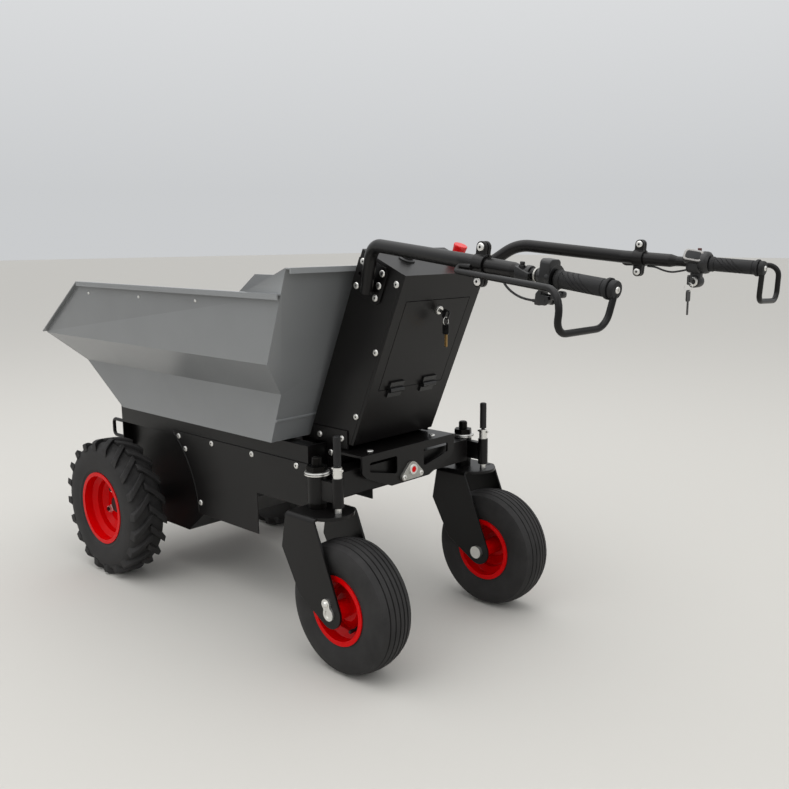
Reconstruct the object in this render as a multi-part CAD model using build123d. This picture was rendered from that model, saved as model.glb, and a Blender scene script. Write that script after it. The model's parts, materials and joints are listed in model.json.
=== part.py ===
"""Electric mini dumper: tipping hopper, driven front wheels, rocking rear axle with two casters.

Millimetres. +X points to the dump end, +Y to the operator's left, +Z up.
The origin lies on the ground, midway along the machine.
"""
import os
from math import acos, cos, hypot, radians, sin, sqrt, tan

from build123d import *

# Overall layout: distances behind the drive axle, from the wheelbase to the bar ends
WHEELBASE = 1010.0
FRONT_REACH = 338.0
CASTER_TRAIL = 110.0
BRACKET_REAR_REACH = 51.0
BRACKET_FRONT_REACH = 54.0
BRACKET_STANDOFF = 46.0
HOPPER_SETBACK = 83.0
CABINET_REACH = 275.0
HANDLE_RISE = 52.0
TUBE_REACH = 392.0
BAR_REACH = 281.0
BAR_END_REACH = 17.7
KINGPIN_BACK = WHEELBASE - CASTER_TRAIL
BRACKET_REAR = KINGPIN_BACK + BRACKET_REAR_REACH
BRACKET_FRONT = KINGPIN_BACK - BRACKET_FRONT_REACH
CHASSIS_REAR = BRACKET_FRONT - BRACKET_STANDOFF
HOPPER_FLOOR_REAR = CHASSIS_REAR - HOPPER_SETBACK
CABINET_TOP_X = CHASSIS_REAR + CABINET_REACH
HANDLE_BEND_X = CABINET_TOP_X - HANDLE_RISE
CLAMP_X = HANDLE_BEND_X + TUBE_REACH
BAR_END_X = CLAMP_X + BAR_REACH
REAR_REACH = BAR_END_X + BAR_END_REACH
AXLE_X = (REAR_REACH - FRONT_REACH) / 2
CASTER_AXLE_X = AXLE_X - WHEELBASE
KINGPIN_X = AXLE_X - KINGPIN_BACK

# Sheet, tube and fit sizes shared by many pieces
SHEET = 3.0
PLATE = 6.0
RUNNING_GAP = 0.05
FREE_GAP = 0.3
ARC_SHARE = 0.45
BOLT_HEAD_R = 7.5
BOLT_HEAD_HEIGHT = 5.0

# Drive wheels: 4.00-8 tractor tyres on deep-dish rims
DRIVE_OD = 414.0
DRIVE_WIDTH = 108.0
DRIVE_TRACK = 616.0
DRIVE_RIM_DIA = 203.0
LUG_HEIGHT = 12.0
LUG_WIDTH = 27.0
LUG_COUNT = 15
LUG_ANGLE = 48.0
TYRE_WALL = 9.0
TREAD_CROWN = 10.0
BEAD_SHARE = 0.86
RIM_WALL = 3.0
RIM_FLANGE = 10.0
RIM_WELL_DEPTH = 15.0
DRIVE_DISC_OFFSET = -12.0
HUB_R = 62.0
HUB_THICK = 9.0
HUB_BOSS_R = 25.0
HUB_BOSS_LENGTH = 16.0
NUT_CIRCLE_R = 50.0
NUT_COUNT = 4
NUT_PHASE = 27.0
NUT_ACROSS = 19.0
NUT_HEIGHT = 11.0
STUD_R = 6.0
SHAFT_R = 17.0
DRIVE_R = DRIVE_OD / 2
DRIVE_Y = DRIVE_TRACK / 2

# Transaxle and motor
CASE_LENGTH = 160.0
CASE_WIDTH = 190.0
CASE_HEIGHT = 120.0
AXLE_TUBE_R = 32.0
AXLE_TUBE_END = 236.0
SHAFT_BURIED = 60.0
MOTOR_R = 48.0
MOTOR_LENGTH = 110.0

# Caster wheels: 4.10-6 ribbed tyres
CASTER_OD = 322.0
CASTER_WIDTH = 104.0
CASTER_TRACK = 544.0
CASTER_RIM_DIA = 152.0
RIB_GROOVE = 4.0
RIB_PITCH = 14.0
RIB_GROOVES = 5
CASTER_HUB_R = 22.0
CASTER_DISC_OFFSET = 14.0
HUB_SIDE_GAP = 3.0
CASTER_AXLE_R = 10.0
AXLE_HEAD = 10.0
AXLE_TAIL = 3.0
KEEPER_THICK = 5.0
KEEPER_END_R = 13.0
KEEPER_LIFT = 22.0
KEEPER_SLANT = 0.35
CASTER_R = CASTER_OD / 2
CASTER_Y = CASTER_TRACK / 2

# Caster fork
FORK_INSIDE = 126.0
FORK_PLATE = 6.0
FORK_TOP_Z = 377.0
FORK_TOP_PLATE = 8.0
FORK_END_R = 36.0
FORK_NOSE = 38.0
FORK_TAIL = 62.0
FORK_KNEE_X = 55.0
FORK_KNEE_Z = 285.0
FORK_SHIN_X = -4.0
FORK_SHIN_Z = 182.0
FORK_BEND_R = 12.0

# Rear axle beam, kingpins and lock pins
ROCK_Z = 427.0
BEAM_LENGTH = 500.0
BEAM_DEPTH = 64.0
BEAM_HEIGHT = 60.0
BEAM_WALL = 5.0
PIVOT_TUBE_R = 24.2
PIVOT_TUBE_BOTTOM = 391.0
PIVOT_TUBE_TOP = 459.0
KINGPIN_R = 15.0
RING_R = 30.5
RING_HEIGHT = 8.0
KINGPIN_NUT_ACROSS = 44.0
KINGPIN_NUT_HEIGHT = 13.0
CAP_R = 12.0
CAP_HEIGHT = 22.0
LOCK_SETBACK = 72.0
WEB_THICK = 18.0
WEB_BOTTOM = 402.0
WEB_TOP = 450.0
LOCK_TUBE_R = 13.5
LOCK_TUBE_TOP = 462.0
LOCK_PIN_R = 8.0
LOCK_COLLAR_R = 11.0
LOCK_COLLAR_HEIGHT = 26.0
LOCK_CROSS_PIN_R = 3.0
LOCK_CROSS_PIN_LENGTH = 34.0
LOCK_SLEEVE_R = 9.0
LOCK_SLEEVE_TOP = 563.0
LOCK_STEM_R = 5.0
ROCK_PIN_R = 12.5

# Rear bracket that carries the rocking axle
BRACKET_HALF = 172.0
BRACKET_TOP = 490.0
BRACKET_END_Z = 432.0
BRACKET_MID_Z = 396.0
BRACKET_MID_HALF = 70.0
BRACKET_CORNER = 14.0
BRACKET_ROUND = 8.0
SLOT_INNER_Y = 50.0
SLOT_OUTER_Y = 146.0
SLOT_TOP_Z = 470.0
SLOT_INNER_Z = 424.0
SLOT_OUTER_Z = 446.0
SLOT_ROUND = 6.0
BEARING_R = 20.0
BEARING_THICK = 8.0
BEARING_BOLT_Y = 31.0
BEARING_BOLT_DROP = 16.0
BEARING_LOBE_R = 9.0
ROCK_PIN_STICK_OUT = 3.0

# Chassis
CHASSIS_HALF = 214.0
CHASSIS_FRONT = 100.0
CHASSIS_TOP = 500.0
RAIL_HEIGHT = 60.0
RAIL_WIDTH = 40.0
RAIL_WALL = 4.0
COVER_LIP_Z = 455.0
COVER_BOTTOM = 224.0
NOTCH_TOP = 340.0
NOTCH_LENGTH = 210.0
ARCH_R = 312.0
GUARD_HALF = 185.0
GUARD_BOTTOM = 141.0
GUARD_FRONT = 96.0
GUARD_NOSE_R = 40.0
GUARD_KEEL_X = 205.0
GUARD_HEEL_Z = 223.0
GUARD_SLOT_HALF = 100.0
FRONT_PANEL_BOTTOM = 350.0
FRONT_PANEL_R = 35.0
HOOK_ROD_R = 5.5
HOOK_Y = 206.0
HOOK_REACH = 66.0
HOOK_TOP = 439.0
HOOK_BOTTOM = 387.0
HOOK_BEND = 14.0
ARM_OUTER = 147.0
ARM_WIDTH = 40.0
ARM_BOTTOM = 405.0
STRAP_THICK = 10.0
REST_PAD_LENGTH = 50.0
REST_PAD_SETBACK = 160.0
MID_CROSS_X = 440.0
CROSS_SIZE = 40.0
STRAP_HALF = 34.0
ARCH_MID_ANGLE = 28.0
GUARD_OPENING_X = 197.0
ARCH_BOLT_REACH = 14.0
ARCH_BOLT_ANGLES = (46, 38, 9)
COVER_BOLT_DROP = 11.0
CABINET_BOLT_FORWARD = 18.0
CABINET_BOLT_DOWNS = (30, 207, 386)
GUSSET_BOLT_LIFT = 18.0
BRACKET_BOLT_SETBACK = 30.0
BRACKET_BOLT_Y = 116.0
BEARING_BOLT_R = 6.5
COVER_BOLT_SETBACK = 43.0
COVER_BOLT_PITCH = 183.5

# Hopper
HOPPER_FLOOR = 505.0
HOPPER_FLOOR_HALF = 262.0
HOPPER_UPPER_HALF = 325.0
HOPPER_FOLD_LOW = 633.0
HOPPER_FOLD_HIGH = 716.0
HOPPER_RIM = 885.0
HOPPER_RIM_FRONT = 95.0
HOPPER_TIP_Z = 722.0
HOPPER_FLOOR_FRONT = 4.0
HOPPER_BACK_TOP = 945.0
HOPPER_BACK_LEAN = 19.5
WING_LENGTH = 155.0
LIP_WIDTH = 12.0
LIP_DROP = 13.0
BACK_FLANGE = 16.0
TIP_PIVOT_X = 76.0
TIP_PIVOT_Z = 518.0
TIP_PIN_R = 8.0
TIP_LUG_R = 17.0
TIP_LUG_Y = 128.0
TIP_LUG_THICK = 8.0
TIP_LUG_GAP = 1.5
TIP_LUG_REAR = 56.0
TIP_LUG_FRONT = 22.0
SADDLE_LENGTH = 30.0
SADDLE_HEIGHT = 8.0

# Tipping actuator
ACTUATOR_BASE_X = 14.0
ACTUATOR_BASE_Z = 362.0
ACTUATOR_EYE_X = -262.0
ACTUATOR_EYE_Z = 455.0
ACTUATOR_R = 25.0
ACTUATOR_ROD_R = 10.0
ACTUATOR_EYE_R = 14.0
ACTUATOR_EYE_HALF = 9.0
ACTUATOR_PIN_R = 7.0
ACTUATOR_BODY_LENGTH = 240.0
ACTUATOR_MOTOR_R = 21.0
ACTUATOR_MOTOR_LENGTH = 95.0
CHEEK_GAP = 1.0
CHEEK_REACH = 26.0
CHEEK_FOOT = 55.0
CHEEK_END = 30.0
ACTUATOR_TAIL = 22.0
ACTUATOR_ROOT = 32.0

# Cabinet, a box that leans back towards the operator
CABINET_HALF = 147.0
CABINET_DEPTH = 150.0
CABINET_LEAN = 23.4
CABINET_TOP_Z = 926.0
CABINET_BOTTOM = 504.0
CABINET_SHEET = 2.5
DOOR_HALF = 115.0
DOOR_TOP = 68.0
DOOR_HEIGHT = 238.0
DOOR_GAP = 1.5
HINGE_Y = 60.0
HINGE_LENGTH = 48.0
HINGE_R = 6.5
HINGE_PIN_R = 3.0
HINGE_LEAF = 21.0
HINGE_LEAF_THICK = 5.0
SHELF_DOWN = 425.0
BATTERY_DEPTH = 120.0
BATTERY_HEIGHT = 110.0
BATTERY_HALF = 115.0
CONTROLLER_HALF = 70.0
CONTROLLER_TOP = 70.0
CONTROLLER_HEIGHT = 130.0
CONTROLLER_THICK = 38.0
LOCK_Y = -10.0
LOCK_DOWN = 95.0
LOCK_BARREL_R = 11.0
LOCK_BARREL_OUT = 6.0
LOCK_BARREL_IN = 22.0
ESTOP_Y = -112.0
ESTOP_FORWARD = 75.0
ESTOP_HEAD_R = 16.0
ESTOP_STEM_R = 8.0
ESTOP_TRAVEL = 6.0
ESTOP_COLLAR = 9.0
SOCKET_Y = 60.0
SOCKET_FORWARD = 84.0
SOCKET_R = 20.0
SEAM_SETBACK = 9.0
SEAM_DEPTH = 1.0
GUSSET_THICK = 4.0
GUSSET_TOP = 540.0
GUSSET_BOTTOM = 458.0
GUSSET_TAIL = 76.0
GUSSET_NOSE = 48.0

# Keys
KEY_HEAD = 22.0
KEY_THICK = 3.0
KEY_STEM = 9.0
KEY_STEM_WIDTH = 8.0
KEY_ROUND = 5.0
KEY_STRIP = 3.0
KEY_SLOT = 6.0
KEY_RING_R = 9.5
KEY_WIRE_R = 0.8
SPARE_HEAD = 26.0
SPARE_BLADE = 30.0
SPARE_BLADE_WIDTH = 7.0
SPARE_BLADE_THICK = 2.0

# Handles
TUBE_R = 15.0
TUBE_WALL = 2.5
HANDLE_PLATE = 5.0
HANDLE_PLATE_TOP = 8.0
HANDLE_PLATE_BOTTOM = 102.0
HANDLE_PLATE_REAR = 48.0
HANDLE_PLATE_CORNER = 12.0
FOOT_BOLT_INSET = 18.0
FOOT_BOLT_PITCH = 31.0
FOOT_HOLE_R = 5.0
HANDLE_FOOT_DOWN = 78.0
HANDLE_FOOT_FORWARD = 84.0
HANDLE_BEND_Y = 199.0
HANDLE_BEND_Z = 996.0
HANDLE_BEND_R = 62.0
CLAMP_STRAIGHT = 45.0
CLAMP_Y = 300.0
CLAMP_Z = 962.0
CLAMP_LENGTH = 26.0
CLAMP_WALL = 5.0
CLAMP_SPLIT = 1.0
CLAMP_BOLT_SPACING = 64.0
CLAMP_EAR_R = 11.0
CLAMP_EAR_HALF = 9.0
CLAMP_NUT_ACROSS = 13.0
CLAMP_NUT_HEIGHT = 6.0
BAR_END_Y = 313.0
LEFT_BAR_END_Z = 927.0
RIGHT_BAR_END_Z = 944.0
BAR_R = 11.1
BAR_TAPER_START = 78.0
BAR_TAPER_LENGTH = 16.0
GRIP_R = 15.5
GRIP_LENGTH = 108.0
GRIP_FLANGE_R = 18.5
GRIP_FLANGE = 5.0
GUARD_ROD_R = 6.0
GUARD_EYE_R = 13.0
GUARD_LEAD = 90.0
GUARD_START_OUT = 12.0
GUARD_START_DROP = 14.0
GUARD_EYE_THICK = 12.4
GUARD_OUT_Y = 452.0
GUARD_BEND = 24.0
GUARD_LOOP_TOP = 915.0
GUARD_LOOP_BOTTOM = 858.0
GUARD_LOOP_RISE = 6.0
SWITCH_START = 101.0
SWITCH_LENGTH = 18.0
SWITCH_COLLAR = 4.0
SWITCH_SINK = 3.0
SWITCH_HEIGHT = 16.0
SWITCH_HALF = 13.0
SWITCH_SEAT = 12.0
HOUSING_START = 131.0
HOUSING_LENGTH = 42.0
HOUSING_HEIGHT = 46.0
HOUSING_WIDTH = 42.0
HOUSING_ROUND = 12.0
HOUSING_CHAMFER = 5.0
PERCH_HALF = 12.0
PERCH_LENGTH = 18.0
PERCH_DROP = 56.0
THROTTLE_START = 122.0
THROTTLE_LENGTH = 50.0
THROTTLE_HEIGHT = 46.0
THROTTLE_WIDTH = 44.0
THROTTLE_ROUND = 10.0
THROTTLE_NECK = 16.0
DISPLAY_LEAD = 14.0
DISPLAY_TOP = 31.0
DISPLAY_TILT = 6.0
DISPLAY_HALF = 21.0
DISPLAY_ROUND = 6.0
GLASS_SINK = 1.6
RED_BUTTON_INSET = 9.0
RED_BUTTON_HEIGHT = 11.0
IGNITION_DROP = 37.0
IGNITION_R = 14.0
IGNITION_BACK = 20.0
IGNITION_FACE = 3.0
BUTTON_TRAVEL = 3.0
BUTTON_R = 5.0
LEVER_PIN_R = 3.0
LEVER_LENGTH = 40.0
LEVER_HALF = 8.8
LEVER_HUB_R = 7.0
LEVER_DROP = 40.0
LEVER_SETBACK = 28.0
BUTTON_HEIGHT = 7.0
CABLE_R = 2.2
CABLE_GAP = 0.2

LEAN_SIN = sin(radians(CABINET_LEAN))
LEAN_COS = cos(radians(CABINET_LEAN))
nodes = {}


def station(distance):
    """X of a place given by its distance behind the drive axle."""
    return AXLE_X - distance


def block(x0, x1, y0, y1, z0, z1):
    """Box between two corners."""
    middle = Pos((x0 + x1) / 2, (y0 + y1) / 2, (z0 + z1) / 2)
    return middle * Box(abs(x1 - x0), abs(y1 - y0), abs(z1 - z0))


def rod(start, end, radius):
    """Round bar between two points."""
    start, end = Vector(*start), Vector(*end)
    axis = end - start
    return Plane(origin=start, z_dir=axis) * extrude(Circle(radius), axis.length)


def plate_xz(points, y0, y1):
    """Plate with its outline in the XZ plane, from y0 to y1."""
    outline = make_face(Polyline(*points, close=True))
    return Pos(0, y1, 0) * extrude(Plane.XZ * outline, y1 - y0)


def plate_yz(points, x0, x1):
    """Plate with its outline in the YZ plane, from x0 to x1."""
    outline = make_face(Polyline(*points, close=True))
    return Pos(x0, 0, 0) * extrude(Plane.YZ * outline, x1 - x0)


def mirrored(shape):
    """The same piece on the other side of the machine."""
    return mirror(shape, Plane.XZ)


def pair(shape):
    """A left piece and its right-hand twin."""
    return [shape, mirrored(shape)]


def strip(points, thickness):
    """Closed outline of a thin wall that follows a polyline at its middle."""
    half = thickness / 2
    left, right = [], []
    last = len(points) - 1
    for i, (x, y) in enumerate(points):
        before = points[max(i - 1, 0)]
        after = points[min(i + 1, last)]
        dirs = [(x - before[0], y - before[1]), (after[0] - x, after[1] - y)]
        units = [(dx / hypot(dx, dy), dy / hypot(dx, dy)) for dx, dy in dirs if hypot(dx, dy) > 0]
        nx = sum(-uy for _, uy in units) / len(units)
        ny = sum(ux for ux, _ in units) / len(units)
        scale = half / (nx * nx + ny * ny)
        left.append((x + nx * scale, y + ny * scale))
        right.append((x - nx * scale, y - ny * scale))
    return left + right[::-1]


def turned(points):
    """Solid of revolution about Z from an outline of (radius, height) points."""
    return revolve(Plane.XZ * make_face(Polyline(*points, close=True)), Axis.Z)


def bent_path(points, bend):
    """Straight runs joined by tangent arcs; without a bend radius each arc takes up most of its runs."""
    corners = [Vector(*p) for p in points]
    edges = []
    start = corners[0]
    for a, b, c in zip(corners, corners[1:], corners[2:]):
        back = (a - b).normalized()
        ahead = (c - b).normalized()
        half = acos(max(-1, min(1, back.dot(ahead)))) / 2
        radius = bend or ARC_SHARE * min((a - b).length, (c - b).length) * tan(half)
        enter = b + back * (radius / tan(half))
        leave = b + ahead * (radius / tan(half))
        middle = b + (back + ahead).normalized() * (radius / sin(half) - radius)
        if not bend:
            print("cable bend radius", round(radius, 1))
        edges += [Line(start, enter), ThreePointArc(enter, middle, leave)]
        start = leave
    edges.append(Line(start, corners[-1]))
    return Wire(edges)


def bent_rod(points, radius, bend, bore=0):
    """Round bar or tube along a bent path."""
    path = bent_path(points, bend)
    start = Plane(origin=points[0], z_dir=Vector(*points[1]) - Vector(*points[0]))
    section = start * (Circle(radius) - Circle(bore)) if bore else start * Circle(radius)
    return sweep(section, path=path)


def bolt(origin, direction, radius=BOLT_HEAD_R, height=BOLT_HEAD_HEIGHT):
    """Domed button head that stands on a face."""
    outline = [
        (0, 0),
        (radius, 0),
        (radius, height * 0.45),
        (radius * 0.72, height * 0.88),
        (radius * 0.45, height),
        (0, height),
    ]
    return Plane(origin=origin, z_dir=direction) * turned(outline)


def hexagon(across, height):
    """Hexagon nut blank standing on the XY plane."""
    return extrude(RegularPolygon(across / sqrt(3), 6), height)


def wheel_frame(x, y, z):
    """Frame of a wheel on the left: local Z points out along +Y."""
    return Plane(origin=(x, y, z), x_dir=(1, 0, 0), z_dir=(0, 1, 0))


def cabinet_frame():
    """Frame of the cabinet: X goes forward across its depth, Z up along its rear face."""
    return Plane(
        origin=(station(CABINET_TOP_X), 0, CABINET_TOP_Z),
        x_dir=(LEAN_COS, 0, LEAN_SIN),
        z_dir=(-LEAN_SIN, 0, LEAN_COS),
    )


def cabinet_point(forward, y, down):
    """World place of a point given in the cabinet's own directions."""
    return cabinet_frame().from_local_coords(Vector(forward, y, -down))


# Wheels

def tyre_carcass(outer_r, width, bead_r, tread):
    """Hollow tyre body, open at the beads, with a tread outline of (radius, height) points."""
    half = width / 2
    bead_half = half * BEAD_SHARE
    tread_half = half * 0.86
    shoulder_r = outer_r - TREAD_CROWN
    wall_r = bead_r + RIM_FLANGE
    middle_r = (wall_r + shoulder_r) / 2
    outer = [
        Line((bead_r, bead_half), (wall_r, bead_half)),
        ThreePointArc((wall_r, bead_half), (middle_r, half), (shoulder_r, tread_half)),
        Polyline((shoulder_r, tread_half), *tread, (shoulder_r, -tread_half)),
        ThreePointArc((shoulder_r, -tread_half), (middle_r, -half), (wall_r, -bead_half)),
        Line((wall_r, -bead_half), (bead_r, -bead_half)),
    ]
    lip = bead_half - TYRE_WALL
    hollow_r = shoulder_r - TYRE_WALL
    hollow_half = tread_half - TYRE_WALL
    inner = Polyline(
        (bead_r, -bead_half),
        (bead_r, -lip),
        (middle_r, TYRE_WALL - half),
        (hollow_r, -hollow_half),
        (hollow_r, hollow_half),
        (middle_r, half - TYRE_WALL),
        (bead_r, lip),
        (bead_r, bead_half),
    )
    return revolve(Plane.XZ * make_face(Curve() + outer + [inner]), Axis.Z)


def tread_lug():
    """One slanted bar of the tractor tread, from the centre line over the shoulder."""
    half = DRIVE_WIDTH / 2
    crown = DRIVE_R - LUG_HEIGHT
    shoulder = crown - TREAD_CROWN
    envelope = turned([
        (crown - 6, -4),
        (DRIVE_R, -4),
        (DRIVE_R - 1, half * 0.55),
        (DRIVE_R - 4, half * 0.86),
        (DRIVE_R - 10, half * 0.97),
        (shoulder - 22, half * 0.99),
        (shoulder - 26, half * 0.86),
        (shoulder - 6, half * 0.72),
    ])
    slant = Plane(
        origin=(crown, 0, half * 0.45),
        x_dir=(1, 0, 0),
        z_dir=(0, sin(radians(LUG_ANGLE)), cos(radians(LUG_ANGLE))),
    )
    blade = slant * Box(DRIVE_WIDTH, LUG_WIDTH, 2 * DRIVE_WIDTH)
    return envelope & blade


def drive_tyre():
    crown = DRIVE_R - LUG_HEIGHT
    flat = DRIVE_WIDTH / 4
    carcass = tyre_carcass(crown, DRIVE_WIDTH, DRIVE_RIM_DIA / 2, [(crown, flat), (crown, -flat)])
    lug = tread_lug()
    other = mirror(lug, Plane.XY)
    pitch = 360 / LUG_COUNT
    lugs = [Rot(0, 0, pitch * i) * lug for i in range(LUG_COUNT)]
    lugs += [Rot(0, 0, pitch * (i + 0.5)) * other for i in range(LUG_COUNT)]
    return carcass.fuse(*lugs)


def rim_barrel(rim_dia, width):
    """Rim barrel: flanges, bead seats and drop well."""
    seat = rim_dia / 2 - RIM_WALL / 2 - RUNNING_GAP
    edge = seat + RIM_FLANGE
    well = seat - RIM_WELL_DEPTH
    half = width / 2 * BEAD_SHARE + RIM_WALL / 2 + RUNNING_GAP
    outline = [
        (edge, half),
        (seat, half),
        (seat, half * 0.5),
        (well, half * 0.28),
        (well, -half * 0.28),
        (seat, -half * 0.5),
        (seat, -half),
        (edge, -half),
    ]
    return turned(strip(outline, RIM_WALL)), well


def drive_rim():
    barrel, well = rim_barrel(DRIVE_RIM_DIA, DRIVE_WIDTH)
    disc = turned(strip([
        (HUB_BOSS_R + 4, DRIVE_DISC_OFFSET),
        (HUB_R + 2, DRIVE_DISC_OFFSET),
        (well - 6, 0),
        (well, 0),
    ], RIM_WALL))
    studs = PolarLocations(NUT_CIRCLE_R, NUT_COUNT, NUT_PHASE)
    hole = Pos(0, 0, DRIVE_DISC_OFFSET) * Cylinder(STUD_R + FREE_GAP, 4 * RIM_WALL)
    return barrel + disc - [place * hole for place in studs]


def drive_hub():
    """Hub, half shaft and wheel nuts, as separate solids."""
    face = DRIVE_DISC_OFFSET - RIM_WALL / 2
    reach = DRIVE_Y - CASE_WIDTH / 2 + SHAFT_BURIED
    hub = Pos(0, 0, face - HUB_THICK) * extrude(Circle(HUB_R), HUB_THICK)
    hub += Pos(0, 0, face) * extrude(Circle(HUB_BOSS_R), HUB_BOSS_LENGTH)
    hub = fillet(hub.edges().sort_by(Axis.Z)[-1], 4)
    hub += Pos(0, 0, -reach) * extrude(Circle(SHAFT_R), reach)
    nut = hexagon(NUT_ACROSS, NUT_HEIGHT) - Cylinder(STUD_R + RUNNING_GAP, 4 * NUT_HEIGHT)
    seat = face + RIM_WALL
    studs = PolarLocations(NUT_CIRCLE_R, NUT_COUNT, NUT_PHASE)
    pieces = []
    for place in studs:
        hub += place * Pos(0, 0, face) * extrude(Circle(STUD_R), RIM_WALL + NUT_HEIGHT + 4)
        pieces.append(place * Pos(0, 0, seat) * nut)
    return [hub] + pieces


def caster_tyre():
    """Tyre with straight ribs; each rib's top is flat and follows the crown."""
    span = CASTER_WIDTH * 0.43
    tread = []
    for i in range(RIB_GROOVES):
        z = ((RIB_GROOVES - 1) / 2 - i) * RIB_PITCH
        top = CASTER_R - TREAD_CROWN * (z / span) ** 2
        tread += [
            (top, z + RIB_GROOVE / 2),
            (top - RIB_GROOVE, z + RIB_GROOVE / 4),
            (top - RIB_GROOVE, z - RIB_GROOVE / 4),
            (top, z - RIB_GROOVE / 2),
        ]
    return tyre_carcass(CASTER_R, CASTER_WIDTH, CASTER_RIM_DIA / 2, tread)


def caster_rim():
    """Rim with its hub tube, and the two bearings pressed into it."""
    barrel, well = rim_barrel(CASTER_RIM_DIA, CASTER_WIDTH)
    disc = turned(strip([
        (CASTER_HUB_R - 2, CASTER_DISC_OFFSET),
        (CASTER_HUB_R + 12, CASTER_DISC_OFFSET),
        (well - 8, 0),
        (well, 0),
    ], RIM_WALL))
    hub_half = FORK_INSIDE / 2 - HUB_SIDE_GAP
    hub = Cylinder(CASTER_HUB_R, 2 * hub_half)
    bearing_r = CASTER_HUB_R - 4
    bearing_width = 12
    hub -= Cylinder(CASTER_AXLE_R + 2, 3 * hub_half)
    bore = Cylinder(CASTER_AXLE_R + RUNNING_GAP, 2 * bearing_width)
    rim = barrel + disc + hub
    bearings = []
    for side in (-1, 1):
        seat = Pos(0, 0, side * (hub_half - bearing_width / 2))
        rim -= seat * Cylinder(bearing_r, bearing_width)
        bearings.append(seat * (Cylinder(bearing_r, bearing_width) - bore))
    return [rim] + bearings


def add_wheels():
    left = wheel_frame(AXLE_X, DRIVE_Y, DRIVE_R)
    tyre = left * drive_tyre()
    rim = left * drive_rim()
    hub = [left * piece for piece in drive_hub()]
    nodes["drive_tyre_left"] = [tyre]
    nodes["drive_tyre_right"] = [mirrored(tyre)]
    nodes["drive_rim_left"] = [rim]
    nodes["drive_rim_right"] = [mirrored(rim)]
    nodes["drive_hub_left"] = hub
    nodes["drive_hub_right"] = [mirrored(piece) for piece in hub]
    swivel = wheel_frame(CASTER_AXLE_X, CASTER_Y, CASTER_R)
    tyre = swivel * caster_tyre()
    rim = [swivel * piece for piece in caster_rim()]
    nodes["caster_tyre_left"] = [tyre]
    nodes["caster_tyre_right"] = [mirrored(tyre)]
    nodes["caster_rim_left"] = rim
    nodes["caster_rim_right"] = [mirrored(piece) for piece in rim]


# Casters and the rocking axle

def caster_fork():
    """Bent plate fork: top plate with a curved tail, two knee-shaped legs."""
    half = FORK_INSIDE / 2 + FORK_PLATE
    end_x = -CASTER_TRAIL
    end_z = CASTER_R
    top = FORK_TOP_Z

    def tangent(point_x, point_z, side):
        """Place where a line from the point touches the round end of the leg."""
        away = hypot(point_x - end_x, point_z - end_z)
        turn = acos(FORK_END_R / away)
        angle = side * turn
        ux, uz = (point_x - end_x) / away, (point_z - end_z) / away
        rx = ux * cos(angle) - uz * sin(angle)
        rz = ux * sin(angle) + uz * cos(angle)
        return end_x + FORK_END_R * rx, end_z + FORK_END_R * rz

    low = tangent(FORK_SHIN_X, FORK_SHIN_Z, -1)
    high = tangent(-FORK_TAIL, top - FORK_TOP_PLATE, 1)
    tip = (end_x - FORK_END_R * 0.87, end_z - FORK_END_R * 0.5)
    leg = make_face(Curve() + [
        Polyline(
            high,
            (-FORK_TAIL, top - FORK_TOP_PLATE),
            (-FORK_TAIL, top),
            (FORK_NOSE, top),
            (FORK_KNEE_X, FORK_KNEE_Z),
            (FORK_SHIN_X, FORK_SHIN_Z),
            low,
        ),
        ThreePointArc(low, tip, high),
    ])
    outer = extrude(Plane.XZ * leg, half, both=True)
    bends = outer.edges().filter_by(Axis.X).group_by(Axis.Z)[-1]
    inside = block(-WHEELBASE, WHEELBASE, -FORK_INSIDE / 2, FORK_INSIDE / 2, 0, top - FORK_TOP_PLATE)
    fork = fillet(bends, FORK_BEND_R) - inside
    fork += Pos(0, 0, top - FORK_TOP_PLATE) * extrude(tail_outline(half - FORK_BEND_R), FORK_TOP_PLATE)
    fork -= Pos(end_x, 0, end_z) * Rot(90, 0, 0) * Cylinder(CASTER_AXLE_R, 3 * half)
    fork -= Pos(-LOCK_SETBACK, 0, top) * Cylinder(LOCK_PIN_R + FREE_GAP, 4 * FORK_TOP_PLATE)
    return Pos(KINGPIN_X, CASTER_Y, 0) * fork


def tail_outline(half):
    """Curved rear edge of the fork's top plate."""
    return make_face(Curve() + [
        ThreePointArc((-FORK_TAIL, half), (-LOCK_SETBACK - 28, 0), (-FORK_TAIL, -half)),
        Line((-FORK_TAIL, -half), (-FORK_TAIL, half)),
    ])


def kingpin():
    """Kingpin with its thrust collar, cover ring, and nut with domed cap."""
    centre = Pos(KINGPIN_X, CASTER_Y, 0)
    ring_z = PIVOT_TUBE_TOP + FREE_GAP
    nut_z = ring_z + RING_HEIGHT
    pin = Pos(0, 0, FORK_TOP_Z) * extrude(Circle(KINGPIN_R), nut_z - FORK_TOP_Z)
    collar = PIVOT_TUBE_BOTTOM - FREE_GAP - FORK_TOP_Z
    pin += Pos(0, 0, FORK_TOP_Z) * extrude(Circle(PIVOT_TUBE_R - 2), collar)
    groove = 1.2
    ring = turned([
        (KINGPIN_R + RUNNING_GAP, 0),
        (RING_R, 0),
        (RING_R, RING_HEIGHT * 0.4),
        (RING_R - groove, RING_HEIGHT * 0.4),
        (RING_R - groove, RING_HEIGHT * 0.55),
        (RING_R, RING_HEIGHT * 0.55),
        (RING_R - 1, RING_HEIGHT),
        (KINGPIN_R + RUNNING_GAP, RING_HEIGHT),
    ])
    nut = hexagon(KINGPIN_NUT_ACROSS, KINGPIN_NUT_HEIGHT)
    cap = Pos(0, 0, KINGPIN_NUT_HEIGHT) * extrude(Circle(CAP_R), CAP_HEIGHT)
    nut += fillet(cap.edges().sort_by(Axis.Z)[-1], CAP_R * 0.5)
    return [centre * pin, centre * Pos(0, 0, ring_z) * ring, centre * Pos(0, 0, nut_z) * nut]


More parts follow.
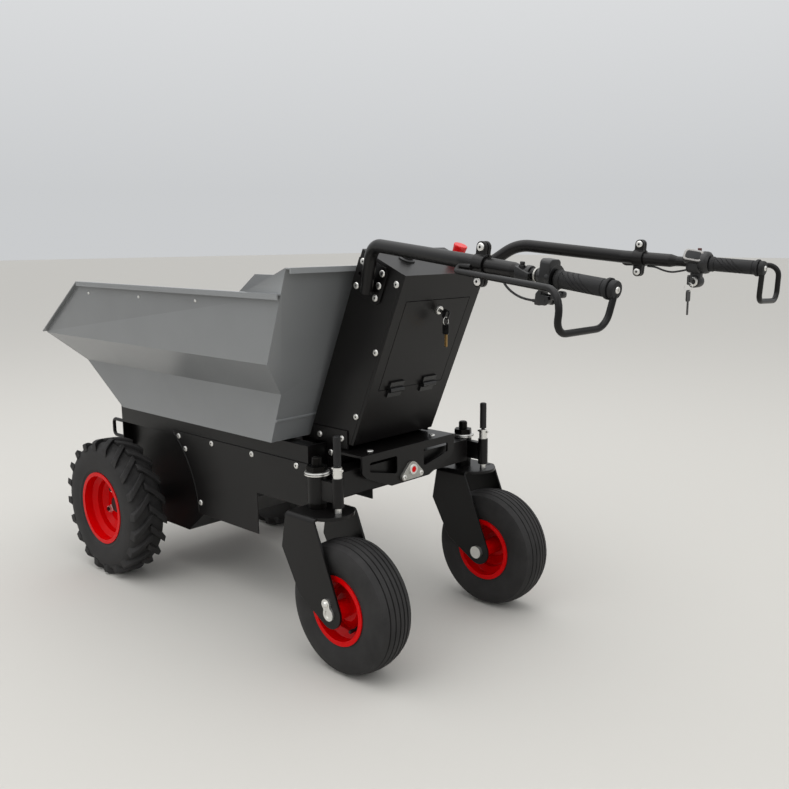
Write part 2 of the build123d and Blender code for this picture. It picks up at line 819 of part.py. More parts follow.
def caster_axle():
    """Axle bolt with a round head on the inner leg and a keeper plate on the outer leg."""
    half = FORK_INSIDE / 2 + FORK_PLATE
    frame = wheel_frame(CASTER_AXLE_X, CASTER_Y, CASTER_R)
    head = AXLE_HEAD
    tail = AXLE_TAIL
    keeper = KEEPER_THICK
    keeper_end_r = KEEPER_END_R
    keeper_lift = KEEPER_LIFT
    spacer = FORK_INSIDE / 2 - FREE_GAP
    bar = Pos(0, 0, -half) * extrude(Circle(CASTER_AXLE_R), 2 * half + tail)
    bar += Pos(0, 0, -half - head) * extrude(Circle(CASTER_AXLE_R * 1.7), head)
    hub_face = FORK_INSIDE / 2 - HUB_SIDE_GAP + FREE_GAP
    for side in (-1, 1):
        low, high = sorted((side * hub_face, side * spacer))
        bar += Pos(0, 0, low) * extrude(Circle(CASTER_AXLE_R + 4), high - low)
    lobe = Pos(0, 0, half) * extrude(Circle(CASTER_AXLE_R + 6), keeper)
    aside = keeper_lift * KEEPER_SLANT
    lobe += Pos(aside, -keeper_lift, half) * extrude(Circle(keeper_end_r), keeper)
    waist = Plane(origin=(0, 0, half), x_dir=(KEEPER_SLANT, -1, 0), z_dir=(0, 0, 1))
    lobe += waist * Pos(keeper_lift / 2, 0, keeper / 2) * Box(keeper_lift, 2 * keeper_end_r - 4, keeper)
    plate = lobe - Cylinder(CASTER_AXLE_R + RUNNING_GAP, 4 * half)
    screw = bolt((aside, -keeper_lift, half + keeper), (0, 0, 1))
    return [frame * piece for piece in (bar, plate, screw)]


def axle_beam():
    """Hollow beam with pivot tubes and lock-pin tubes welded to its ends."""
    x = KINGPIN_X
    half = BEAM_LENGTH / 2
    end = CASTER_Y - PIVOT_TUBE_R + 2
    beam = Pos(x, 0, ROCK_Z) * Box(BEAM_DEPTH, 2 * end, BEAM_HEIGHT)
    inner_end = half - 3 * BEAM_WALL
    depth = BEAM_DEPTH / 2 - BEAM_WALL
    height = BEAM_HEIGHT / 2 - BEAM_WALL
    tube_height = PIVOT_TUBE_TOP - PIVOT_TUBE_BOTTOM
    for side in (-1, 1):
        beam += Pos(x, side * CASTER_Y, PIVOT_TUBE_BOTTOM) * extrude(Circle(PIVOT_TUBE_R), tube_height)
        web_y = side * CASTER_Y
        near, far = web_y - WEB_THICK / 2, web_y + WEB_THICK / 2
        beam += block(x - LOCK_SETBACK, x - KINGPIN_R, near, far, WEB_BOTTOM, WEB_TOP)
        lock = Pos(x - LOCK_SETBACK, side * CASTER_Y, PIVOT_TUBE_BOTTOM)
        beam += lock * extrude(Circle(LOCK_TUBE_R), LOCK_TUBE_TOP - PIVOT_TUBE_BOTTOM)
    front_boss = station(BRACKET_FRONT + PLATE + FREE_GAP)
    rear_boss = station(BRACKET_REAR - PLATE - FREE_GAP)
    beam += rod((rear_boss, 0, ROCK_Z), (front_boss, 0, ROCK_Z), ROCK_PIN_R + 9)
    beam -= block(x - depth, x + depth, -inner_end, inner_end, ROCK_Z - height, ROCK_Z + height)
    beam -= rod((rear_boss - 1, 0, ROCK_Z), (front_boss + 1, 0, ROCK_Z), ROCK_PIN_R + RUNNING_GAP)
    for side in (-1, 1):
        bore = Pos(x, side * CASTER_Y, PIVOT_TUBE_BOTTOM - 1)
        beam -= bore * extrude(Circle(KINGPIN_R + RUNNING_GAP), tube_height + 2)
        lock = Pos(x - LOCK_SETBACK, side * CASTER_Y, PIVOT_TUBE_BOTTOM - 1)
        beam -= lock * extrude(Circle(LOCK_PIN_R + RUNNING_GAP), LOCK_TUBE_TOP - PIVOT_TUBE_BOTTOM + 2)
    return beam


def lock_pin():
    """Pull pin with collar, cross pin and stem, and its rubber sleeve."""
    centre = Pos(KINGPIN_X - LOCK_SETBACK, CASTER_Y, 0)
    tip = FORK_TOP_Z + FREE_GAP
    collar = LOCK_TUBE_TOP + FREE_GAP
    cross = collar + LOCK_COLLAR_HEIGHT - 6
    sleeve_z = collar + LOCK_COLLAR_HEIGHT + 4
    pin = Pos(0, 0, tip) * extrude(Circle(LOCK_PIN_R), collar - tip)
    pin += Pos(0, 0, collar) * extrude(Circle(LOCK_COLLAR_R), LOCK_COLLAR_HEIGHT)
    pin += Pos(0, 0, collar) * extrude(Circle(LOCK_STEM_R), LOCK_SLEEVE_TOP - 6 - collar)
    pin += Pos(0, 0, cross) * Rot(0, 90, 0) * Cylinder(LOCK_CROSS_PIN_R, LOCK_CROSS_PIN_LENGTH)
    sleeve = Pos(0, 0, sleeve_z) * extrude(Circle(LOCK_SLEEVE_R), LOCK_SLEEVE_TOP - sleeve_z)
    sleeve = fillet(sleeve.edges().sort_by(Axis.Z)[-1], 4)
    sleeve -= Pos(0, 0, sleeve_z) * extrude(Circle(LOCK_STEM_R), LOCK_SLEEVE_TOP - 6 - sleeve_z)
    return [centre * pin, centre * sleeve]


def bracket_plate(x):
    """Bracket plate across the machine: lower in the middle, with rounded lower corners."""
    half = BRACKET_HALF
    outline = make_face(Polyline(
        (half, BRACKET_TOP),
        (half, BRACKET_END_Z + BRACKET_CORNER),
        (half - BRACKET_CORNER, BRACKET_END_Z),
        (BRACKET_MID_HALF, BRACKET_MID_Z),
        (-BRACKET_MID_HALF, BRACKET_MID_Z),
        (BRACKET_CORNER - half, BRACKET_END_Z),
        (-half, BRACKET_END_Z + BRACKET_CORNER),
        (-half, BRACKET_TOP),
        close=True,
    ))
    lower = outline.vertices().sort_by(Axis.Y)[:-2]
    return Pos(x, 0, 0) * extrude(Plane.YZ * fillet(lower, BRACKET_ROUND), PLATE)


def rear_bracket():
    rear = station(BRACKET_REAR)
    front = station(BRACKET_FRONT)
    slot = make_face(Polyline(
        (SLOT_INNER_Y, SLOT_TOP_Z),
        (SLOT_OUTER_Y, SLOT_TOP_Z),
        (SLOT_OUTER_Y, SLOT_OUTER_Z),
        (SLOT_INNER_Y, SLOT_INNER_Z),
        close=True,
    ))
    slot = Pos(rear, 0, 0) * extrude(Plane.YZ * fillet(slot.vertices(), SLOT_ROUND), PLATE, both=True)
    body = bracket_plate(rear) - slot - mirrored(slot)
    body += bracket_plate(front - PLATE)
    body += block(rear, front, -BRACKET_HALF, BRACKET_HALF, BRACKET_TOP - PLATE, BRACKET_TOP)
    body -= rod((rear - 5, 0, ROCK_Z), (front + 5, 0, ROCK_Z), ROCK_PIN_R + 4)
    return body


def rock_bearing(x0, x1):
    """Triangular flange bearing between two stations."""
    outline = make_hull(
        (Circle(BEARING_R) + [
            Pos(side * BEARING_BOLT_Y, -BEARING_BOLT_DROP) * Circle(BEARING_LOBE_R) for side in (-1, 1)
        ]).edges()
    )
    flange = Plane(origin=(x0, 0, ROCK_Z), x_dir=(0, 1, 0), z_dir=(1, 0, 0)) * extrude(outline, x1 - x0)
    return flange - rod((x0 - 1, 0, ROCK_Z), (x1 + 1, 0, ROCK_Z), ROCK_PIN_R + RUNNING_GAP)


def add_rear_axle():
    fork = caster_fork()
    pins = kingpin()
    axle = caster_axle()
    lock = lock_pin()
    nodes["caster_fork_left"] = [fork]
    nodes["caster_fork_right"] = [mirrored(fork)]
    nodes["caster_pins_left"] = pins + axle
    nodes["caster_pins_right"] = [mirrored(piece) for piece in pins + axle]
    nodes["lock_pin_left"] = lock
    nodes["lock_pin_right"] = [mirrored(piece) for piece in lock]
    nodes["axle_beam"] = [axle_beam()]
    rear = station(BRACKET_REAR) - BEARING_THICK - ROCK_PIN_STICK_OUT
    front = station(BRACKET_FRONT) + BEARING_THICK + ROCK_PIN_STICK_OUT
    nodes["rock_pin"] = [rod((rear, 0, ROCK_Z), (front, 0, ROCK_Z), ROCK_PIN_R)]
    nodes["rear_bracket"] = [rear_bracket()]
    nodes["rock_bearings"] = [
        rock_bearing(station(BRACKET_REAR) - BEARING_THICK, station(BRACKET_REAR)),
        rock_bearing(station(BRACKET_FRONT), station(BRACKET_FRONT) + BEARING_THICK),
    ]


# Chassis

def rail():
    """Left side rail: a channel that opens inwards."""
    rear, front = station(CHASSIS_REAR), AXLE_X + CHASSIS_FRONT
    inner = CHASSIS_HALF - RAIL_WIDTH
    bottom = CHASSIS_TOP - RAIL_HEIGHT
    body = block(rear, front, inner, CHASSIS_HALF, bottom, CHASSIS_TOP)
    hollow = block(
        rear + RAIL_WALL,
        front - RAIL_WALL,
        inner - 1,
        CHASSIS_HALF - RAIL_WALL,
        bottom + RAIL_WALL,
        CHASSIS_TOP - RAIL_WALL,
    )
    return body - hollow


def chassis_frame():
    """Side rails, cross members, front panel, pivot lugs, actuator clevis and rear arms."""
    rear, front = station(CHASSIS_REAR), AXLE_X + CHASSIS_FRONT
    bottom = CHASSIS_TOP - RAIL_HEIGHT
    inner = CHASSIS_HALF - RAIL_WIDTH
    body = rail() + mirrored(rail())
    body += block(rear, rear + PLATE, -CHASSIS_HALF, CHASSIS_HALF, NOTCH_TOP, CHASSIS_TOP)
    panel = make_face(Polyline(
        (-CHASSIS_HALF, FRONT_PANEL_BOTTOM),
        (CHASSIS_HALF, FRONT_PANEL_BOTTOM),
        (CHASSIS_HALF, CHASSIS_TOP),
        (-CHASSIS_HALF, CHASSIS_TOP),
        close=True,
    ))
    panel = fillet(panel.vertices().group_by(Axis.Y)[0], FRONT_PANEL_R)
    body += Pos(front - RAIL_WALL, 0, 0) * extrude(Plane.YZ * panel, RAIL_WALL)
    cross = CROSS_SIZE
    mid = station(MID_CROSS_X)
    body += block(mid, mid + cross, -inner - 1, inner + 1, bottom, bottom + cross)
    pivot_x = AXLE_X + TIP_PIVOT_X
    saddle = bottom + SADDLE_HEIGHT
    body += block(pivot_x - SADDLE_LENGTH, front - 1, -inner - 1, inner + 1, bottom, saddle)
    outer_y = TIP_LUG_Y + TIP_LUG_THICK
    lug = plate_xz(
        [(pivot_x - TIP_LUG_R, saddle - 1), (pivot_x + TIP_LUG_R, saddle - 1),
         (pivot_x + TIP_LUG_R, TIP_PIVOT_Z), (pivot_x - TIP_LUG_R, TIP_PIVOT_Z)],
        TIP_LUG_Y,
        outer_y,
    )
    lug += rod((pivot_x, TIP_LUG_Y, TIP_PIVOT_Z), (pivot_x, outer_y, TIP_PIVOT_Z), TIP_LUG_R)
    lug -= rod((pivot_x, TIP_LUG_Y - 1, TIP_PIVOT_Z), (pivot_x, outer_y + 1, TIP_PIVOT_Z), TIP_PIN_R)
    body += lug + mirrored(lug)
    base_x = AXLE_X + ACTUATOR_BASE_X
    beam_x = base_x + ACTUATOR_EYE_R + 6
    beam_low = ACTUATOR_BASE_Z - cross / 2
    body += block(beam_x, beam_x + cross, -inner - RAIL_WALL, inner + RAIL_WALL, beam_low, beam_low + cross)
    hanger = block(beam_x, beam_x + cross, inner, inner + RAIL_WALL, beam_low, bottom + 1)
    body += hanger + mirrored(hanger)
    cheek_y = ACTUATOR_EYE_HALF + CHEEK_GAP
    cheek = block(base_x, beam_x + 1, cheek_y, cheek_y + PLATE, beam_low + 4, beam_low + cross - 4)
    base_z = ACTUATOR_BASE_Z
    cheek += rod((base_x, cheek_y, base_z), (base_x, cheek_y + PLATE, base_z), cross / 2 - 4)
    body += cheek + mirrored(cheek)
    far = cheek_y + PLATE + 3
    body += rod((base_x, -far, base_z), (base_x, far, base_z), ACTUATOR_PIN_R)
    arm = block(station(BRACKET_FRONT), rear + 1, ARM_OUTER - ARM_WIDTH, ARM_OUTER, ARM_BOTTOM, BRACKET_TOP)
    body += arm + mirrored(arm)
    body += strap() + mirrored(strap())
    return body


def rest_pad():
    """Rubber pad on the left rail that the lowered hopper comes down on."""
    x = station(CHASSIS_REAR - REST_PAD_SETBACK)
    inner = CHASSIS_HALF - RAIL_WIDTH
    return block(x, x + REST_PAD_LENGTH, inner + 5, CHASSIS_HALF - 5, CHASSIS_TOP, HOPPER_FLOOR - FREE_GAP)


def side_cover():
    """Left side panel: arched front edge round the drive wheel, notch for the caster."""
    rear = station(CHASSIS_REAR)
    arch_low = AXLE_X - sqrt(ARCH_R ** 2 - (COVER_BOTTOM - DRIVE_R) ** 2)
    arch_top = AXLE_X - sqrt(ARCH_R ** 2 - (COVER_LIP_Z - DRIVE_R) ** 2)
    angle = radians(ARCH_MID_ANGLE)
    arch_mid = (AXLE_X - ARCH_R * cos(angle), DRIVE_R + ARCH_R * sin(angle))
    outline = make_face(Curve() + [
        Polyline(
            (arch_top, COVER_LIP_Z),
            (rear, COVER_LIP_Z),
            (rear, NOTCH_TOP),
            (station(CHASSIS_REAR - NOTCH_LENGTH), NOTCH_TOP),
            (station(CHASSIS_REAR - NOTCH_LENGTH), COVER_BOTTOM),
            (arch_low, COVER_BOTTOM),
        ),
        ThreePointArc((arch_low, COVER_BOTTOM), arch_mid, (arch_top, COVER_LIP_Z)),
    ])
    return Pos(0, CHASSIS_HALF + SHEET, 0) * extrude(Plane.XZ * outline, SHEET)


def guard_outline(inset):
    """Side view of the axle guard, drawn in by the wall thickness for its inside."""
    radius = ARCH_R - 2 * SHEET - inset
    top = CHASSIS_TOP - RAIL_HEIGHT
    heel = GUARD_HEEL_Z + inset
    keel = GUARD_BOTTOM + inset
    front = AXLE_X + GUARD_FRONT - inset
    nose = GUARD_NOSE_R - inset
    top_x = AXLE_X - sqrt(radius ** 2 - (top - DRIVE_R) ** 2)
    heel_x = AXLE_X - sqrt(radius ** 2 - (heel - DRIVE_R) ** 2)
    angle = radians(ARCH_MID_ANGLE)
    mid = (AXLE_X - radius * cos(angle), DRIVE_R + radius * sin(angle))
    bend = (front - nose * (1 - sqrt(0.5)), keel + nose * (1 - sqrt(0.5)))
    return make_face(Curve() + [
        ThreePointArc((top_x, top), mid, (heel_x, heel)),
        Polyline((heel_x, heel), (station(GUARD_KEEL_X), keel), (front - nose, keel)),
        ThreePointArc((front - nose, keel), bend, (front, keel + nose)),
        Polyline((front, keel + nose), (front, top), (top_x, top)),
    ])


def axle_guard():
    """Folded guard round the transaxle, open at the top."""
    body = extrude(Plane.XZ * guard_outline(0), GUARD_HALF, both=True)
    body -= extrude(Plane.XZ * guard_outline(SHEET), GUARD_HALF - SHEET, both=True)
    top = CHASSIS_TOP - RAIL_HEIGHT
    opening = GUARD_HALF - SHEET
    front = AXLE_X + GUARD_FRONT - SHEET
    body -= block(station(GUARD_OPENING_X), front, -opening, opening, top - 20, top + 1)
    far = 2 * GUARD_HALF
    body -= rod((AXLE_X, -far, DRIVE_R), (AXLE_X, far, DRIVE_R), AXLE_TUBE_R + FREE_GAP)
    slot = GUARD_SLOT_HALF
    body -= block(station(ARCH_R), station(ARCH_R / 2), -slot, slot, ACTUATOR_BASE_Z, top + 1)
    return body


def tie_down_hook():
    front = AXLE_X + CHASSIS_FRONT
    return bent_rod(
        [(front, HOOK_Y, HOOK_TOP), (front + HOOK_REACH, HOOK_Y, HOOK_TOP),
         (front + HOOK_REACH, HOOK_Y, HOOK_BOTTOM), (front, HOOK_Y, HOOK_BOTTOM)],
        HOOK_ROD_R,
        HOOK_BEND,
    )


def transaxle():
    """Gear case with axle tubes, and the drive motor flanged to its rear."""
    case = Pos(AXLE_X, 0, DRIVE_R) * Box(CASE_LENGTH, CASE_WIDTH, CASE_HEIGHT)
    case = fillet(case.edges().filter_by(Axis.Y), 25)
    case += rod((AXLE_X, -AXLE_TUBE_END, DRIVE_R), (AXLE_X, AXLE_TUBE_END, DRIVE_R), AXLE_TUBE_R)
    buried = CASE_WIDTH / 2 - SHAFT_BURIED - FREE_GAP
    for side in (-1, 1):
        start = (AXLE_X, side * buried, DRIVE_R)
        case -= rod(start, (AXLE_X, side * (AXLE_TUBE_END + 1), DRIVE_R), SHAFT_R + RUNNING_GAP)
    face = AXLE_X - CASE_LENGTH / 2
    motor = rod((face, 0, DRIVE_R), (face - MOTOR_LENGTH, 0, DRIVE_R), MOTOR_R)
    motor = fillet(motor.edges().sort_by(Axis.X)[0], 8)
    return [case, motor]


def strap():
    """Hanger that ties the left axle tube to the rail above it."""
    outer = GUARD_HALF - SHEET
    top = CHASSIS_TOP - RAIL_HEIGHT
    body = block(AXLE_X - STRAP_HALF, AXLE_X + STRAP_HALF, outer - STRAP_THICK, outer, DRIVE_R, top + 1)
    body -= rod((AXLE_X, 0, DRIVE_R), (AXLE_X, CHASSIS_HALF, DRIVE_R), AXLE_TUBE_R)
    return body


def body_bolts():
    """Button heads on the side covers, cabinet sides, gussets and rear bracket."""
    cover_y = CHASSIS_HALF + SHEET
    row = COVER_LIP_Z - COVER_BOLT_DROP
    places = [(CHASSIS_REAR - COVER_BOLT_SETBACK - COVER_BOLT_PITCH * i, row) for i in range(3)]
    reach = ARCH_R + ARCH_BOLT_REACH
    for angle in ARCH_BOLT_ANGLES:
        places.append((reach * cos(radians(angle)), DRIVE_R + reach * sin(radians(angle))))
    heads = [bolt((station(x), cover_y, z), (0, 1, 0)) for x, z in places]
    for down in CABINET_BOLT_DOWNS:
        heads.append(bolt(cabinet_point(CABINET_BOLT_FORWARD, CABINET_HALF, down), (0, 1, 0)))
    gusset_y = CABINET_HALF + GUSSET_THICK
    heads += [bolt((station(x), gusset_y, z), (0, 1, 0)) for x, z in gusset_holes()]
    heads += [mirrored(head) for head in heads]
    for side in (-1, 1):
        top_x = station(BRACKET_REAR - BRACKET_BOLT_SETBACK)
        heads.append(bolt((top_x, side * BRACKET_BOLT_Y, BRACKET_TOP), (0, 0, 1)))
        seat = (station(BRACKET_REAR) - BEARING_THICK, side * BEARING_BOLT_Y, ROCK_Z - BEARING_BOLT_DROP)
        heads.append(bolt(seat, (-1, 0, 0), radius=BEARING_BOLT_R))
    return heads


def gusset_holes():
    """Bolt places on the cabinet gusset: two in the cabinet, one in the chassis arm."""
    row = CHASSIS_TOP + GUSSET_BOLT_LIFT
    low = GUSSET_BOTTOM + GUSSET_BOLT_LIFT
    return [(CHASSIS_REAR + 57, row), (CHASSIS_REAR - 25, row), (CHASSIS_REAR + 15, low)]


def gusset():
    """Plate that ties the cabinet side to the chassis arm."""
    rear = station(BRACKET_FRONT - 1)
    front = station(CHASSIS_REAR + 1)
    outline = [
        (station(CHASSIS_REAR + GUSSET_TAIL), GUSSET_TOP),
        (station(CHASSIS_REAR + GUSSET_TAIL), BRACKET_TOP + 2),
        (rear, BRACKET_TOP + 2),
        (rear, GUSSET_BOTTOM),
        (front, GUSSET_BOTTOM),
        (front, CHASSIS_TOP + 2),
        (station(CHASSIS_REAR - GUSSET_NOSE), CHASSIS_TOP + 2),
        (station(CHASSIS_REAR - GUSSET_NOSE), GUSSET_TOP),
    ]
    return plate_xz(outline, CABINET_HALF, CABINET_HALF + GUSSET_THICK)


def add_chassis():
    nodes["chassis_frame"] = [chassis_frame()]
    nodes["rest_pads"] = pair(rest_pad())
    nodes["side_covers"] = pair(side_cover())
    nodes["axle_guard"] = [axle_guard()]
    nodes["tie_down_hooks"] = pair(tie_down_hook())
    nodes["drive_unit"] = transaxle()
    nodes["body_bolts"] = body_bolts()
    nodes["cabinet_gussets"] = pair(gusset())


# Hopper and its actuator

def hopper_section(inset):
    """Cross-section of the tub: lower box, sloping band, upper box."""
    low = HOPPER_FLOOR_HALF - inset
    high = HOPPER_UPPER_HALF - inset
    lift = inset * (sqrt(2) - 1)
    right = [
        (low, HOPPER_FLOOR + inset - 1),
        (low, HOPPER_FOLD_LOW + lift),
        (high, HOPPER_FOLD_HIGH + lift),
        (high, HOPPER_BACK_TOP + FRONT_REACH),
    ]
    return right + [(-y, z) for y, z in right[::-1]]


def hopper_profile(inset):
    """Side view of the tub's inside or outside, with the ramp and the leaning back."""
    back_tan = tan(radians(HOPPER_BACK_LEAN))
    back_x = station(HOPPER_FLOOR_REAR)
    floor_x = AXLE_X + HOPPER_FLOOR_FRONT
    tip_x = AXLE_X + FRONT_REACH
    run, rise = tip_x - floor_x, HOPPER_TIP_Z - HOPPER_FLOOR
    ramp = rise / run
    shift = inset * hypot(run, rise) / run
    floor = HOPPER_FLOOR + inset
    back_shift = inset / cos(radians(HOPPER_BACK_LEAN))
    rear_low = back_x - (floor - HOPPER_FLOOR) * back_tan + back_shift
    rear_high = back_x - (HOPPER_BACK_TOP - HOPPER_FLOOR) * back_tan + back_shift
    ramp_low = floor_x + (inset - shift) / ramp
    beyond = FRONT_REACH if inset else 0
    lip = tip_x + beyond
    lip_z = HOPPER_TIP_Z + shift + beyond * ramp
    above = HOPPER_BACK_TOP + FRONT_REACH
    return [
        (rear_low, floor),
        (ramp_low, floor),
        (lip, lip_z),
        (lip, above),
        (rear_high, above),
        (rear_high, HOPPER_BACK_TOP),
    ]


def hopper_cap():
    """Everything above the rims: kept only below this outline of rim, wings and back."""
    back_tan = tan(radians(HOPPER_BACK_LEAN))
    back_top = station(HOPPER_FLOOR_REAR) - (HOPPER_BACK_TOP - HOPPER_FLOOR) * back_tan
    return [
        (back_top - WING_LENGTH, 0),
        (back_top - WING_LENGTH, HOPPER_BACK_TOP),
        (back_top + 2, HOPPER_BACK_TOP),
        (back_top + WING_LENGTH, HOPPER_RIM),
        (AXLE_X + HOPPER_RIM_FRONT, HOPPER_RIM),
        (AXLE_X + FRONT_REACH, HOPPER_TIP_Z),
        (AXLE_X + FRONT_REACH, 0),
    ]


def hopper_shell():
    """Folded sheet tub, open at the top and front, with folded rim lips."""
    far = 2 * HOPPER_UPPER_HALF
    length = 2 * (FRONT_REACH + CHASSIS_REAR)
    mid = AXLE_X - CHASSIS_REAR / 2
    outside = plate_yz(hopper_section(0), mid - length, mid + length)
    outside &= plate_xz(hopper_profile(0), -far, far)
    inside = plate_yz(hopper_section(SHEET), mid - length, mid + length)
    inside &= plate_xz(hopper_profile(SHEET), -far, far)
    tub = (outside - inside) & plate_xz(hopper_cap(), -far, far)
    back_tan = tan(radians(HOPPER_BACK_LEAN))
    back_top = station(HOPPER_FLOOR_REAR) - (HOPPER_BACK_TOP - HOPPER_FLOOR) * back_tan
    rim_rear = station(HOPPER_FLOOR_REAR) - (HOPPER_RIM - HOPPER_FLOOR) * back_tan
    rim_front = AXLE_X + HOPPER_RIM_FRONT
    tip = AXLE_X + FRONT_REACH
    y = HOPPER_UPPER_HALF
    drop, run = HOPPER_RIM - HOPPER_TIP_Z, tip - rim_front
    back_x, down_z = (SHEET * d / hypot(drop, run) for d in (drop, run))
    edge = [(rim_front, HOPPER_RIM), (tip, HOPPER_TIP_Z)]
    edge += [(tip - back_x, HOPPER_TIP_Z - down_z), (rim_front - back_x, HOPPER_RIM - down_z)]
    outer = y + LIP_WIDTH
    lip = block(rim_rear, rim_front, y - SHEET, outer, HOPPER_RIM - SHEET, HOPPER_RIM)
    lip += block(rim_rear, rim_front, outer - SHEET, outer, HOPPER_RIM - LIP_DROP, HOPPER_RIM)
    lip += plate_xz(edge, y - SHEET, outer)
    fold = back_top - BACK_FLANGE
    flange = block(fold, back_top + SHEET, -y, y, HOPPER_BACK_TOP - SHEET, HOPPER_BACK_TOP)
    flange += block(fold, fold + SHEET, -y, y, HOPPER_BACK_TOP - LIP_DROP, HOPPER_BACK_TOP)
    return tub + lip + mirrored(lip) + flange


def hopper_lugs():
    """Pivot lugs and actuator cheeks welded under the hopper floor."""
    x, z = AXLE_X + TIP_PIVOT_X, TIP_PIVOT_Z
    inner = TIP_LUG_Y + TIP_LUG_THICK + TIP_LUG_GAP
    outer = inner + TIP_LUG_THICK
    seat = AXLE_X + HOPPER_FLOOR_FRONT
    slope = (HOPPER_TIP_Z - HOPPER_FLOOR) / (FRONT_REACH - HOPPER_FLOOR_FRONT)
    ends = (x - TIP_LUG_REAR, x + TIP_LUG_FRONT)
    foot = [(end, HOPPER_FLOOR + (end - seat) * slope) for end in ends]
    lug = plate_xz(foot + [(x + TIP_LUG_R, z), (x - TIP_LUG_R, z)], inner, outer)
    lug += rod((x, inner, z), (x, outer, z), TIP_LUG_R)
    lug -= rod((x, inner - 1, z), (x, outer + 1, z), TIP_PIN_R + RUNNING_GAP)
    eye_x = AXLE_X + ACTUATOR_EYE_X
    cheek_y = ACTUATOR_EYE_HALF + CHEEK_GAP
    low = ACTUATOR_EYE_Z - CHEEK_REACH
    cheek = plate_xz(
        [
            (eye_x - CHEEK_FOOT, HOPPER_FLOOR),
            (eye_x - CHEEK_END, low),
            (eye_x + CHEEK_END, low),
            (eye_x + CHEEK_FOOT, HOPPER_FLOOR),
        ],
        cheek_y,
        cheek_y + PLATE,
    )
    return pair(lug) + pair(cheek)


def tip_pin():
    x, z = AXLE_X + TIP_PIVOT_X, TIP_PIVOT_Z
    outer = TIP_LUG_Y + 2 * TIP_LUG_THICK + TIP_LUG_GAP
    pin = rod((x, TIP_LUG_Y - 4, z), (x, outer + 4, z), TIP_PIN_R)
    pin += rod((x, TIP_LUG_Y - 8, z), (x, TIP_LUG_Y, z), TIP_PIN_R + 4)
    return pin


def actuator_line():
    """Start point and direction of the actuator at rest."""
    start = Vector(AXLE_X + ACTUATOR_BASE_X, 0, ACTUATOR_BASE_Z)
    end = Vector(AXLE_X + ACTUATOR_EYE_X, 0, ACTUATOR_EYE_Z)
    return start, end, (end - start).normalized()


def actuator_body():
    """Actuator tube with its tail eye, and the gear motor beside it."""
    start, _, along = actuator_line()
    frame = Plane(origin=start, x_dir=(0, 1, 0), z_dir=along)
    tail = ACTUATOR_TAIL
    tube = Pos(0, 0, tail) * extrude(Circle(ACTUATOR_R), ACTUATOR_BODY_LENGTH - tail)
    tube += Rot(0, 90, 0) * Cylinder(ACTUATOR_EYE_R, 2 * ACTUATOR_EYE_HALF)
    tube += Pos(0, 0, tail / 2) * Box(2 * ACTUATOR_EYE_HALF, 2 * ACTUATOR_EYE_R - 4, tail + 2)
    tube -= Rot(0, 90, 0) * Cylinder(ACTUATOR_PIN_R + RUNNING_GAP, 4 * ACTUATOR_EYE_HALF)
    bore = ACTUATOR_ROD_R + RUNNING_GAP
    tube -= Pos(0, 0, tail + 8) * extrude(Circle(bore), ACTUATOR_BODY_LENGTH)
    beside = ACTUATOR_R + ACTUATOR_MOTOR_R
    motor = Pos(beside, 0, tail) * extrude(Circle(ACTUATOR_MOTOR_R), ACTUATOR_MOTOR_LENGTH)
    motor = fillet(motor.edges().sort_by(Axis.Z)[-1], 5)
    motor += Pos(beside / 2, 0, tail + 6) * Box(beside, 2 * ACTUATOR_MOTOR_R - 4, 12)
    motor -= extrude(Circle(ACTUATOR_R), ACTUATOR_BODY_LENGTH)
    return [frame * tube, frame * motor]


def actuator_rod():
    start, end, along = actuator_line()
    frame = Plane(origin=start, x_dir=(0, 1, 0), z_dir=along)
    length = (end - start).length
    root = ACTUATOR_ROOT
    bar = Pos(0, 0, root) * extrude(Circle(ACTUATOR_ROD_R), length - root)
    eye = Pos(0, 0, length) * Rot(0, 90, 0) * Cylinder(ACTUATOR_EYE_R, 2 * ACTUATOR_EYE_HALF)
    eye -= Pos(0, 0, length) * Rot(0, 90, 0) * Cylinder(ACTUATOR_PIN_R, 4 * ACTUATOR_EYE_HALF)
    bar -= Pos(0, 0, length) * Rot(0, 90, 0) * Cylinder(ACTUATOR_PIN_R, 4 * ACTUATOR_EYE_HALF)
    return frame * (bar + eye)


def add_hopper():
    nodes["hopper_shell"] = [hopper_shell()]
    nodes["hopper_brackets"] = hopper_lugs()
    nodes["hopper_pivot_pins"] = pair(tip_pin())
    nodes["actuator_body"] = actuator_body()
    nodes["actuator_rod"] = [actuator_rod()]


# Cabinet

def cabinet_outline(inset):
    """Side view of the leaning cabinet, cut level at the bottom."""
    def corner(forward, down):
        point = cabinet_point(forward, 0, down)
        return point.X, point.Z

    depth = CABINET_DEPTH - inset
    low = CABINET_BOTTOM - 10 * bool(inset)
    rear_down = (CABINET_TOP_Z + inset * LEAN_SIN - low) / LEAN_COS
    front_down = (CABINET_TOP_Z + depth * LEAN_SIN - low) / LEAN_COS
    return [corner(inset, inset), corner(depth, inset), corner(depth, front_down), corner(inset, rear_down)]


